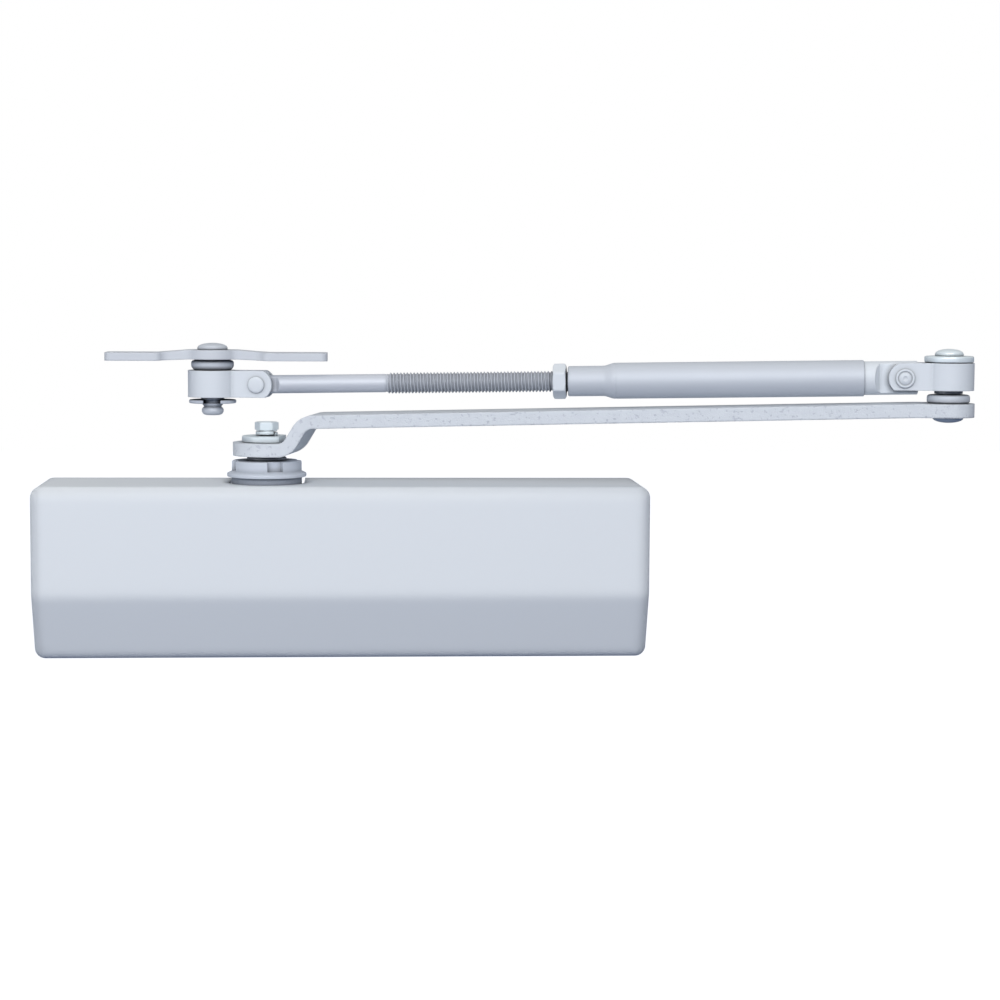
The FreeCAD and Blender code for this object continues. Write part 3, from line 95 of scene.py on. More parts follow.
class Places:
    """Where the pieces sit at rest, in millimetres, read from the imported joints."""

    def __init__(self) -> None:
        """Reads every joint's place and axis."""
        behaviour = frame["record"]["behaviour"]
        self.joints = {entry["name"]: entry for entry in behaviour["joints"]}

    def point(self, name: str) -> Vector:
        """The place of a joint."""
        return Vector(self.joints[name]["pos_m"]) * 1000.0

    def axis(self, name: str) -> Vector:
        """The direction of a joint."""
        return Vector(self.joints[name]["axis"]).normalized()

    def upright(self, name: str) -> Matrix:
        """A frame on a joint's vertical axis, with heights counted from the row's origin."""
        place = self.point(name)
        return Matrix.Translation((place.x, place.y, 0.0))

    @staticmethod
    def along(origin: Vector, direction: Vector) -> Matrix:
        """A frame whose Z runs along a direction and whose X points up.

        Args:
            origin: the frame's origin.
            direction: its Z axis.

        Returns:
            The frame as a matrix.
        """
        across = direction.cross(Vector((0.0, 0.0, 1.0))).normalized()
        up = across.cross(direction).normalized()
        turn = Matrix((up, direction.cross(up), direction)).transposed().to_4x4()
        return Matrix.Translation(origin) @ turn

    def forearm(self) -> Matrix:
        """A frame at the elbow's rivet, along the tube and the rod."""
        return self.along(self.point("elbow_tilt"), self.axis("forearm_length"))

    def rivet(self, name: str) -> Matrix:
        """A frame at a knuckle rivet, along the rivet."""
        return self.along(self.point(name), self.axis(name))


PLACES = Places()


# Meshes

def soften(corners: list[Corner], closed: bool = False) -> Outline:
    """Rounds the corners of an outline.

    Args:
        corners: radius, height and length of the rounding of each corner.
        closed: whether the last corner joins the first.

    Returns:
        The outline's points.
    """
    points: Outline = []
    for index, (radius, height, rounding) in enumerate(corners):
        corner = Vector((radius, height))
        at_end = not closed and index in (0, len(corners) - 1)
        if rounding <= 0.0 or at_end:
            points.append((radius, height))
            continue
        before = Vector(corners[index - 1][:2]) - corner
        after = Vector(corners[(index + 1) % len(corners)][:2]) - corner
        reach = min(rounding, 0.49 * before.length, 0.49 * after.length)
        start = corner + before.normalized() * reach
        end = corner + after.normalized() * reach
        for step in range(ROUND_STEPS + 1):
            share = step / ROUND_STEPS
            point = start.lerp(corner, share).lerp(corner.lerp(end, share), share)
            points.append((point.x, point.y))
    return points


def dome(radius: float, foot: float, crown: float, steps: int = 14) -> Outline:
    """A dome's outline from its edge to its crown.

    Args:
        radius: radius at the foot.
        foot: height of the foot.
        crown: height of the crown.
        steps: points on the way.

    Returns:
        The outline's points.
    """
    quarter = [math.pi / 2 * step / steps for step in range(steps + 1)]
    return [(radius * math.cos(turn), foot + (crown - foot) * math.sin(turn))
            for turn in quarter]


def domed_head(radius: float, seat: float, rim: float, crown: float) -> Outline:
    """The outline of a pin's low domed head, from its seat to its crown.

    Args:
        radius: radius of the rim.
        seat: height of the face under the head.
        rim: height of the rim over that face.
        crown: height of the crown.

    Returns:
        The outline's points.
    """
    edge = seat + rim
    under = [(radius - 0.2, seat), (radius, seat + 0.25), (radius, edge)]
    return under + dome(radius - 0.12, edge + 0.12, crown)


def two_heads(head: Outline, half: float) -> Outline:
    """The outline of a rivet with the same head at both ends.

    Args:
        head: radius of each point of the head and its height over the leg.
        half: distance of each leg's outer face from the middle.

    Returns:
        The outline's points.
    """
    near = [(radius, -half - height) for radius, height in head]
    far = [(radius, half + height) for radius, height in head]
    return near[::-1] + far


def revolve(outline: Outline, closed: bool = False, angles: list[float] | None = None,
            reach: Reach | None = None) -> bmesh.types.BMesh:
    """Turns an outline about Z.

    Args:
        outline: radius and height of each point.
        closed: whether the last point joins the first, as in a ring.
        angles: the turns at which the outline stands.
        reach: gives the radius at a turn from the outline's radius and height.

    Returns:
        The mesh, in millimetres.
    """
    turns = FULL_TURN if angles is None else angles
    mesh = bmesh.new()
    rows = []
    for radius, height in outline:
        if radius < ON_AXIS:
            rows.append([mesh.verts.new((0.0, 0.0, height))])
            continue
        row = []
        for turn in turns:
            out = radius if reach is None else reach(turn, radius, height)
            row.append(mesh.verts.new((out * math.cos(turn), out * math.sin(turn), height)))
        rows.append(row)
    bands = list(zip(rows, rows[1:]))
    if closed:
        bands.append((rows[-1], rows[0]))
    for low, high in bands:
        for index in range(len(turns)):
            after = (index + 1) % len(turns)
            loop = [low[index % len(low)], low[after % len(low)],
                    high[after % len(high)], high[index % len(high)]]
            corners = list(dict.fromkeys(loop))
            if len(corners) > 2:
                mesh.faces.new(corners)
    bmesh.ops.recalc_face_normals(mesh, faces=mesh.faces)
    return mesh


def wind(section: Outline, turns: float, pitch: float, start: float, fade: float = 0.0,
         root: float = 0.0, steps: int = 40) -> bmesh.types.BMesh:
    """Winds a closed section about Z as a helix with closed ends.

    Args:
        section: radius and height of each point of the section.
        turns: how many turns it makes.
        pitch: rise of one turn.
        start: height of the first section.
        fade: turns over which the section sinks to the root at each end.
        root: radius to which it sinks.
        steps: sections in a turn.

    Returns:
        The mesh, in millimetres.
    """
    mesh = bmesh.new()
    rows = []
    total = round(turns * steps)
    for step in range(total + 1):
        wound = step / steps
        left = min(wound, turns - wound)
        full = 1.0 if fade <= 0.0 else min(1.0, left / fade)
        turn = math.tau * wound
        row = []
        for radius, height in section:
            out = root + (radius - root) * full if radius > root else radius
            row.append(mesh.verts.new((out * math.cos(turn), out * math.sin(turn),
                                       start + height + pitch * wound)))
        rows.append(row)
    for low, high in zip(rows, rows[1:]):
        for index in range(len(section)):
            after = (index + 1) % len(section)
            mesh.faces.new((low[index], low[after], high[after], high[index]))
    mesh.faces.new(rows[0])
    mesh.faces.new(rows[-1])
    bmesh.ops.recalc_face_normals(mesh, faces=mesh.faces)
    return mesh


def join(base: bmesh.types.BMesh, other: bmesh.types.BMesh) -> bmesh.types.BMesh:
    """Adds one mesh to another.

    Args:
        base: the mesh that grows.
        other: the mesh that is added and freed.

    Returns:
        The base.
    """
    carrier = bpy.data.meshes.new("carrier")
    other.to_mesh(carrier)
    other.free()
    base.from_mesh(carrier)
    bpy.data.meshes.remove(carrier)
    return base


def six_sided(flats: float, shaved: float = 0.97) -> Reach:
    """Cuts a turned blank to six flats with slightly rounded corners.

    Args:
        flats: size across the flats.
        shaved: rounded corner's radius as a share of the sharp one.

    Returns:
        The rule that gives the radius at a turn.
    """
    third = math.pi / 3
    corner = shaved * flats / math.sqrt(3.0)

    def rule(turn: float, radius: float, height: float) -> float:
        """The radius that the six flats leave at a turn."""
        face = flats / 2 / math.cos(turn % third - third / 2)
        return min(radius, face, corner)

    return rule


def two_flats(half: float, start: float, run: float, full: float) -> Reach:
    """Mills two flats on a turned bar, with a curved run-out.

    Args:
        half: half of the thickness that is left.
        start: where the flats begin, measured along the bar.
        run: length of the run-out.
        full: radius of the bar.

    Returns:
        The rule that gives the radius at a turn.
    """
    def rule(turn: float, radius: float, height: float) -> float:
        """The radius that the two flats leave at a turn."""
        short = max(0.0, start - height)
        thick = half + (full - half) * (short / run) ** 1.4
        return min(radius, thick / max(abs(math.sin(turn)), ON_AXIS))

    return rule


def place_in_scene(name: str, data: bpy.types.ID) -> bpy.types.Object:
    """Makes an object and links it to the scene.

    Args:
        name: the object's name.
        data: its mesh, lamp or camera.

    Returns:
        The object.
    """
    item = bpy.data.objects.new(name, data)
    bpy.context.scene.collection.objects.link(item)
    return item


# Finishes

def add_node(tree: bpy.types.NodeTree, kind: str, values: Values | None = None,
             **settings: object) -> bpy.types.Node:
    """Adds a shader node to a tree.

    Args:
        tree: the tree.
        kind: the node's type, without the word ShaderNode.
        values: default values, by the input's name or number.
        settings: the node's other settings, by their names in Blender.

    Returns:
        The node.
    """
    node = tree.nodes.new(f"ShaderNode{kind}")
    for setting, value in settings.items():
        setattr(node, setting, value)
    for socket, value in (values or {}).items():
        node.inputs[socket].default_value = value
    return node


def wire(tree: bpy.types.NodeTree, *wires: Wire) -> None:
    """Links nodes, each link given as a node, its output, the next node and its input."""
    for source, output, target, entry in wires:
        tree.links.new(source.outputs[output], target.inputs[entry])


class Grain(Enum):
    """How a surface is broken up at small scale."""

    PAINT = "paint"
    PITTED = "pitted"
    DRAWN = "drawn"


class ShaderGroups:
    """Shader node groups that several materials share, each built once."""

    COARSE_SHARE = 0.37
    PIT_RANGE = (0.60, 0.70)
    ROUGHNESS_DRIFT = 0.22
    EDGE_RANGE = (0.985, 0.86)
    # Reach of the painted shade in crevices and gaps between parts.
    CREVICE_SHADE_REACH = 2.2

    def __init__(self) -> None:
        """Builds the groups."""
        self.grain = self.build_grain()
        self.drift = self.build_drift()
        self.edges = self.build_edges()

    @staticmethod
    def start(name: str, inputs: dict[str, str], outputs: dict[str, str]
              ) -> tuple[bpy.types.NodeTree, bpy.types.Node, bpy.types.Node]:
        """Makes an empty group with its sockets.

        Args:
            name: the group's name.
            inputs: kind of socket by input name.
            outputs: kind of socket by output name.

        Returns:
            The group's node tree, its input node and its output node.
        """
        tree = bpy.data.node_groups.new(name, "ShaderNodeTree")
        for side, sockets in (("INPUT", inputs), ("OUTPUT", outputs)):
            for label, kind in sockets.items():
                tree.interface.new_socket(label, in_out=side, socket_type=f"NodeSocket{kind}")
        return tree, tree.nodes.new("NodeGroupInput"), tree.nodes.new("NodeGroupOutput")

    def build_grain(self) -> bpy.types.NodeTree:
        """Fine bumps with scattered pits, as a height and a mask of the pits.

        Returns:
            The group, with inputs Vector, Scale and Pits and outputs Height and Mask.
        """
        tree, start, end = self.start(
            "surface_grain", {"Vector": "Vector", "Scale": "Float", "Pits": "Float"},
            {"Height": "Float", "Mask": "Float"})
        low, high = self.PIT_RANGE
        fine = add_node(tree, "TexNoise", {"Detail": 3.0, "Roughness": 0.6})
        coarse = add_node(tree, "TexNoise", {"Detail": 2.0})
        wider = add_node(tree, "Math", {1: self.COARSE_SHARE}, operation="MULTIPLY")
        ramp = add_node(tree, "MapRange", {"From Min": low, "From Max": high})
        pits = add_node(tree, "Math", operation="MULTIPLY")
        lowered = add_node(tree, "Math", operation="SUBTRACT")
        wire(tree, (start, "Vector", fine, "Vector"), (start, "Vector", coarse, "Vector"),
             (start, "Scale", fine, "Scale"), (start, "Scale", wider, 0),
             (wider, 0, coarse, "Scale"), (coarse, "Fac", ramp, "Value"),
             (ramp, "Result", pits, 0), (start, "Pits", pits, 1),
             (fine, "Fac", lowered, 0), (pits, 0, lowered, 1),
             (lowered, 0, end, "Height"), (pits, 0, end, "Mask"))
        return tree

    def build_drift(self) -> bpy.types.NodeTree:
        """A slow drift of colour and roughness over a surface, and its tinted pits.

        Returns:
            The group, with inputs Vector, Color, Tint, Amount, Scale, Roughness and Mask and
            outputs Color and Roughness.
        """
        tree, start, end = self.start(
            "tone_drift",
            {"Vector": "Vector", "Color": "Color", "Tint": "Color", "Amount": "Float",
             "Scale": "Float", "Roughness": "Float", "Mask": "Float"},
            {"Color": "Color", "Roughness": "Float"})
        noise = add_node(tree, "TexNoise", {"Detail": 4.0})
        share = add_node(tree, "Math", operation="MULTIPLY")
        both = add_node(tree, "Math", operation="ADD", use_clamp=True)
        mixed = add_node(tree, "Mix", data_type="RGBA")
        rough = add_node(tree, "Math", {1: self.ROUGHNESS_DRIFT}, operation="MULTIPLY_ADD")
        wire(tree, (start, "Vector", noise, "Vector"), (start, "Scale", noise, "Scale"),
             (noise, "Fac", share, 0), (start, "Amount", share, 1),
             (share, 0, both, 0), (start, "Mask", both, 1), (both, 0, mixed, "Factor"),
             (start, "Color", mixed, "A"), (start, "Tint", mixed, "B"),
             (both, 0, rough, 0), (start, "Roughness", rough, 2),
             (mixed, "Result", end, "Color"), (rough, 0, end, "Roughness"))
        return tree

    def build_edges(self) -> bpy.types.NodeTree:
        """Soft edges, their broken wear and painted shade that darkens the crevices between parts.

        Returns:
            The group, with inputs Vector, Color, Worn, Amount, Scale and Radius and outputs
            Color and Normal.
        """
        tree, start, end = self.start(
            "edge_wear_and_painted_shade",
            {"Vector": "Vector", "Color": "Color", "Worn": "Color", "Amount": "Float",
             "Scale": "Float", "Radius": "Float"},
            {"Color": "Color", "Normal": "Vector"})
        straight, bent = self.EDGE_RANGE
        bevel = add_node(tree, "Bevel", samples=4)
        geometry = add_node(tree, "NewGeometry")
        agree = add_node(tree, "VectorMath", operation="DOT_PRODUCT")
        turn = add_node(tree, "MapRange", {"From Min": straight, "From Max": bent})
        noise = add_node(tree, "TexNoise", {"Detail": 3.0})
        broken = add_node(tree, "Math", operation="MULTIPLY")
        share = add_node(tree, "Math", operation="MULTIPLY", use_clamp=True)
        mixed = add_node(tree, "Mix", data_type="RGBA")
        # Painted shade: ambient occlusion darkens the colour in crevices and in gaps between
        # parts.
        crevice_shade = add_node(tree, "AmbientOcclusion", {"Distance": mm(self.CREVICE_SHADE_REACH)},
                           samples=8)
        wire(tree, (start, "Radius", bevel, "Radius"), (start, "Vector", noise, "Vector"),
             (start, "Scale", noise, "Scale"), (bevel, "Normal", agree, 0),
             (geometry, "Normal", agree, 1), (agree, "Value", turn, "Value"),
             (turn, "Result", broken, 0), (noise, "Fac", broken, 1), (broken, 0, share, 0),
             (start, "Amount", share, 1), (share, 0, mixed, "Factor"),
             (start, "Color", mixed, "A"), (start, "Worn", mixed, "B"),
             (mixed, "Result", crevice_shade, "Color"), (crevice_shade, "Color", end, "Color"),
             (bevel, "Normal", end, "Normal"))
        return tree


GROUPS = ShaderGroups()


@dataclass(frozen=True)
class Finish:
    """A finish: its colours, gloss and the grain of its surface, lengths in millimetres."""

    name: str
    colour: Colour
    tint: Colour
    metallic: float
    roughness: float
    grain_size: float
    bump: float
    pits: float = 0.0
    drift: float = 0.25
    drift_size: float = 18.0
    edge: float = 0.35
    wear: float = 0.25
    worn: Colour = (0.72, 0.75, 0.80)
    grain: Grain = Grain.PAINT

    def material(self) -> bpy.types.Material:
        """The finish as a material, made once.

        Returns:
            The material.
        """
        name = f"closer_{self.name}"
        known = bpy.data.materials.get(name)
        if known is not None:
            return known
        material = bpy.data.materials.new(name)
        material.use_nodes = True
        tree = material.node_tree
        shader = tree.nodes["Principled BSDF"]
        shader.inputs["Metallic"].default_value = self.metallic
        shader.inputs["Specular IOR Level"].default_value = SPECULAR_LEVEL
        place = add_node(tree, "TexCoord")
        stretch = add_node(tree, "Mapping")
        if self.grain is Grain.DRAWN:
            stretch.inputs["Scale"].default_value = DRAWN_STRETCH
        grain = add_node(
            tree, "Group", {"Scale": 1.0 / mm(self.grain_size), "Pits": self.pits},
            node_tree=GROUPS.grain)
        drift = add_node(
            tree, "Group",
            {"Color": (*self.colour, 1.0), "Tint": (*self.tint, 1.0), "Amount": self.drift,
             "Scale": 1.0 / mm(self.drift_size), "Roughness": self.roughness},
            node_tree=GROUPS.drift)
        edges = add_node(
            tree, "Group",
            {"Radius": mm(self.edge), "Scale": 1.0 / mm(WEAR_SIZE), "Amount": self.wear,
             "Worn": (*self.worn, 1.0)},
            node_tree=GROUPS.edges)
        bump = add_node(tree, "Bump", {"Strength": 1.0, "Distance": mm(self.bump)})
        wire(tree, (place, "Object", stretch, "Vector"), (stretch, "Vector", grain, "Vector"),
             (place, "Object", drift, "Vector"), (place, "Object", edges, "Vector"),
             (drift, "Color", edges, "Color"), (edges, "Color", shader, "Base Color"),
             (drift, "Roughness", shader, "Roughness"), (grain, "Height", bump, "Height"),
             (edges, "Normal", bump, "Normal"), (bump, "Normal", shader, "Normal"))
        if self.grain is Grain.PITTED:
            wire(tree, (grain, "Mask", drift, "Mask"))
        return material


COVER_PAINT = Finish("cover_paint", (0.745, 0.78, 0.815), (0.72, 0.755, 0.80), 0.0, 0.60,
                     grain_size=0.35, bump=0.006, edge=5.0, wear=0.0, drift_size=60.0)
FORGED_PAINT = Finish("forged_paint", (0.72, 0.76, 0.80), (0.58, 0.61, 0.67), 0.05, 0.55,
                      grain_size=0.5, bump=0.12, pits=0.8, drift=0.6, edge=0.9, wear=0.3,
                      drift_size=3.0, grain=Grain.PITTED)
ARM_PAINT = Finish("arm_paint", (0.57, 0.61, 0.68), (0.52, 0.56, 0.64), 0.08, 0.60,
                   grain_size=0.5, bump=0.008, edge=0.30)
TUBE_PAINT = Finish("tube_paint", (0.60, 0.635, 0.69), (0.56, 0.595, 0.655), 0.22, 0.58,
                    grain_size=0.5, bump=0.008, edge=0.30)
PLATE_PAINT = Finish("plate_paint", (0.65, 0.68, 0.72), (0.55, 0.58, 0.65), 0.08, 0.55,
                     grain_size=0.8, bump=0.02, drift=0.5, drift_size=9.0, edge=0.6)
PALE_PAINT = Finish("pale_arm_paint", (0.71, 0.75, 0.795), (0.65, 0.69, 0.745), 0.05, 0.55,
                    grain_size=0.5, bump=0.008, edge=0.45)
DARK_PAINT = Finish("dark_arm_paint", (0.58, 0.62, 0.69), (0.46, 0.50, 0.58), 0.10, 0.52,
                    grain_size=0.6, bump=0.014, edge=0.35)
THREAD_PAINT = Finish("thread_paint", (0.62, 0.65, 0.71), (0.54, 0.57, 0.64), 0.20, 0.48,
                      grain_size=0.5, bump=0.006, edge=0.08, wear=0.6, worn=(0.85, 0.87, 0.90))
ZINC = Finish("zinc_plate", (0.86, 0.93, 0.96), (0.70, 0.80, 0.86), 0.30, 0.30,
              grain_size=0.5, bump=0.008, drift_size=3.0, drift=0.5, edge=0.2,
              worn=(1.0, 1.0, 1.0))
# Cast aluminium's grey, set darker and bluer as painted shade for the boss seen under the gland's
# flange.
SHADE_TONED_CAST = Finish("cast_aluminium", (0.40, 0.44, 0.52), (0.33, 0.37, 0.45), 0.1, 0.7,
              grain_size=0.8, bump=0.06, pits=0.3, grain=Grain.PITTED)
TURNED_STEEL = Finish("turned_steel", (0.56, 0.58, 0.63), (0.46, 0.48, 0.53), 0.5, 0.36,
                      grain_size=0.4, bump=0.010, grain=Grain.DRAWN)
SPRING_STEEL = Finish("spring_steel", (0.16, 0.165, 0.18), (0.10, 0.10, 0.12), 0.9, 0.38,
                      grain_size=0.5, bump=0.010, worn=(0.3, 0.3, 0.32))
BRASS = Finish("turned_brass", (0.66, 0.50, 0.23), (0.52, 0.37, 0.15), 1.0, 0.28,
               grain_size=0.4, bump=0.008, worn=(0.80, 0.64, 0.34))
SEAL = Finish("seal_rubber", (0.02, 0.02, 0.02), (0.035, 0.035, 0.035), 0.0, 0.6,
              grain_size=0.4, bump=0.01, wear=0.0)

WEARERS: dict[Finish, tuple[str, ...]] = {
    COVER_PAINT: ("cover",),
    FORGED_PAINT: ("main_arm",),
    ARM_PAINT: ("shoe_clip",),
    TUBE_PAINT: ("elbow_spacer", "forearm_tube", "shoe_pin", "shoe_spacer"),
    PLATE_PAINT: ("shoe_plate",),
    PALE_PAINT: ("elbow_eye", "elbow_rivet", "tube_lug", "lock_nut", "shoe_eye", "shoe_rivet"),
    DARK_PAINT: ("gland_nut",),
    THREAD_PAINT: ("threaded_rod",),
    ZINC: ("cover_screws", "arm_washer", "arm_spring_washer", "arm_bolt", "elbow_pin",
           "elbow_washer"),
    SHADE_TONED_CAST: ("body_casting", "top_bearing"),
    TURNED_STEEL: ("left_end_plug", "right_end_plug", "bottom_bearing", "bottom_cap",
                   "pinion_shaft", "elbow_bush", "piston", "shoe_bush"),
    SPRING_STEEL: ("closing_spring_outer", "closing_spring_inner"),
    BRASS: ("closing_valve", "latching_valve", "check_valve"),
    SEAL: ("left_plug_seal", "right_plug_seal", "shaft_seal", "piston_ring"),
}
NODE_FINISHES = {node: finish for finish, nodes in WEARERS.items() for node in nodes}


def dress_nodes() -> None:
    """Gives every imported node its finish."""
    for name, finish in NODE_FINISHES.items():
        node = frame["nodes"][name]
        node.data.materials.clear()
        node.data.materials.append(finish.material())
        LOG.info("node %s: %s", name, finish.name)


class Bench:
    """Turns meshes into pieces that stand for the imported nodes."""

    def __init__(self) -> None:
        """Reads the body and the material slot of every node."""
        record = frame["record"]
        self.body = {node: body for body, nodes in record["behaviour"]["bodies"].items()
                     for node in nodes}
        self.slot = {entry["node"]: entry["material_slot"] for entry in record["subparts"]}

    def seat(self, name: str, node: str, mesh: bmesh.types.BMesh, place: Matrix,
             crease: float = 32.0,
             stretch: tuple[str, Spot, Spot] | None = None) -> bpy.types.Object:
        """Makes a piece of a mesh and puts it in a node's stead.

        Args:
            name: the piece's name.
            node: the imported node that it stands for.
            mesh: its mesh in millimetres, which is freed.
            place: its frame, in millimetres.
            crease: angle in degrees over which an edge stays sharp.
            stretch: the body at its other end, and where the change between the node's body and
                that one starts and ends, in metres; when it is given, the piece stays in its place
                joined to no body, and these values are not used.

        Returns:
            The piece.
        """
        mesh.transform(Matrix.Scale(mm(1.0), 4) @ place)
        data = bpy.data.meshes.new(name)
        mesh.to_mesh(data)
        mesh.free()
        data.polygons.foreach_set("use_smooth", [True] * len(data.polygons))
        data.set_sharp_from_angle(angle=math.radians(crease))
        data.materials.append(NODE_FINISHES[node].material())
        piece = place_in_scene(name, data)
        if stretch is None:
            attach(piece, self.body[node])
        else:
            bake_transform(piece)
        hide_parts(node)
        LOG.info("piece %s: %d faces in place of %s", name, len(data.polygons), node)
        return piece


BENCH = Bench()


# Spindle: gland nut and the arm's fastener

@dataclass
class GlandNut:
    """Castellated nut with a sloping flange, heights from the row's origin."""

    foot: float = 24.65
    seat: float = 34.85
    top: float = 40.95
    bore: float = 6.95
    shank: float = 11.0
    flange: float = 14.9
    flange_rim: float = 1.35
    slope_end: float = 2.15
    crown: float = 13.1
    notch_depth: float = 2.0
    notch_width: float = 5.9
    first_notch: float = -74.0
    notch_lift: float = 0.25
    notches: int = 4
    wall_step: float = 0.004

    @property
    def notch_floor(self) -> float:
        """The height of the notches' floor."""
        return self.seat + self.slope_end + self.notch_lift

    def cut(self) -> tuple[list[float], Reach]:
        """Works out where and how the notches are cut.

        Returns:
            The turns at which the nut is drawn, and the rule that gives its radius there.
        """
        half = math.asin(self.notch_width / 2 / self.crown)
        centres = [math.radians(self.first_notch) + turn for turn in even_turns(self.notches)]
        turns = set(FULL_TURN)
        for centre in centres:
            for side in (-half, half):
                turns.update(((centre + side - self.wall_step) % math.tau,
                              (centre + side + self.wall_step) % math.tau))

        def rule(turn: float, radius: float, height: float) -> float:
            """The radius that the notches leave at a turn."""
            if height < self.notch_floor or radius < self.crown - self.notch_depth:
                return radius
            for centre in centres:
                off = (turn - centre + math.pi) % math.tau - math.pi
                if abs(off) < half:
                    return min(radius, (self.crown - self.notch_depth) / math.cos(off))
            return radius

        return sorted(turns), rule

    def build(self) -> None:
        """Makes the nut."""
        floor = self.notch_floor
        outline = soften([
            (self.bore, self.foot, 0.0), (self.shank, self.foot, 0.6),
            (self.shank, self.seat, 0.0), (self.flange - 0.25, self.seat, 0.15),
            (self.flange, self.seat + 0.25, 0.15), (self.flange, self.seat + self.flange_rim, 0.3),
            (self.crown, self.seat + self.slope_end, 0.15), (self.crown, floor - 0.01, 0.0),
            (self.crown, floor + 0.01, 0.0), (self.crown, self.top, 0.8),
            (self.bore, self.top, 0.3)], closed=True)
        turns, rule = self.cut()
        BENCH.seat("castellated_gland_nut", "gland_nut",
                   revolve(outline, True, turns, rule), PLACES.upright("pinion_turn"))


@dataclass
class ArmFastener:
    """Bolt and split washer on the spindle, heights from the row's origin."""

    shank_radius: float = 2.5
    shank_foot: float = 27.8
    split_low: float = 50.2
    split_high: float = 52.0
    split_radius: float = 4.15
    split_rise: float = 0.5
    head_top: float = 55.4
    flats: float = 8.0
    blank_share: float = 0.60
    dish: float = 2.5
    cut_turn: float = -40.0
    wound_share: float = 0.97

    def split_washer(self) -> None:
        """A ring cut through once and sprung apart at the cut."""
        tall = self.split_high - self.split_low - self.split_rise
        bore = self.shank_radius + 0.1
        section = soften([(bore, 0.0, 0.2), (self.split_radius, 0.0, 0.3),
                          (self.split_radius, tall, 0.3), (bore, tall, 0.2)], closed=True)
        BENCH.seat("split_washer", "arm_spring_washer",
                   wind(section, self.wound_share, self.split_rise, self.split_low, steps=72),
                   PLACES.upright("pinion_turn")
                   @ Matrix.Rotation(math.radians(self.cut_turn), 4, "Z"))

    def bolt(self) -> None:
        """Hexagon bolt with a washer face, chamfered corners and a dished top."""
        low, top = self.split_high, self.head_top
        wide = self.flats * self.blank_share
        rows = [(wide - 0.9, top), (wide - 0.62, top - 0.08), (wide - 0.40, top - 0.2),
                (wide - 0.2, top - 0.34), (wide, top - 0.55), (wide, low + 0.75),
                (wide - 0.2, low + 0.62), (wide - 0.5, low + 0.45)]
        outline = [(0.0, top - 0.55)]
        outline += soften([(0.0, top - 0.55, 0.0), (self.dish - 0.5, top - 0.5, 0.4),
                           (self.dish, top - 0.05, 0.3), (wide - 0.9, top, 0.0)])[1:-1]
        outline += rows
        outline += [(self.flats / 2 - 0.1, low + 0.42), (self.flats / 2 - 0.1, low),
                    (self.shank_radius, low), (self.shank_radius, self.shank_foot),
                    (0.0, self.shank_foot)]
        BENCH.seat("arm_bolt_head", "arm_bolt",
                   revolve(outline, reach=six_sided(self.flats)),
                   PLACES.upright("pinion_turn"))

    def build(self) -> None:
        """Makes the fastener."""
        self.split_washer()
        self.bolt()


@dataclass
class ClosingSprings:
    """Springs from the piston's cup to the right plug, which shorten as the door opens."""

    low: float = -4.9
    high: float = 82.0
    outer: tuple[float, float, float] = (10.2, 1.9, 9.0)
    inner: tuple[float, float, float] = (5.6, 1.3, 11.0)
    gap: float = 0.05

    def spring(self, name: str, node: str, size: tuple[float, float, float]) -> None:
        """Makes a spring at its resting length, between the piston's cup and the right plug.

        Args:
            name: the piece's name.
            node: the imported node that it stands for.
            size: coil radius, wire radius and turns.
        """
        coil, thick, turns = size
        section = [(coil + thick * math.cos(turn), thick * math.sin(turn))
                   for turn in even_turns(12)]
        low, high = self.low + thick + self.gap, self.high - thick - self.gap
        depth = PLACES.point("pinion_turn").y
        place = PLACES.along(Vector((0.0, depth, 0.0)), Vector((1.0, 0.0, 0.0)))
        BENCH.seat(name, node, wind(section, turns, (high - low) / turns, low), place,
                   stretch=("piston", (mm(self.high), mm(depth), 0.0),
                            (mm(self.low), mm(depth), 0.0)))

    def build(self) -> None:
        """Makes both springs."""
        self.spring("outer_spring_coil", "closing_spring_outer", self.outer)
        self.spring("inner_spring_coil", "closing_spring_inner", self.inner)


# Elbow

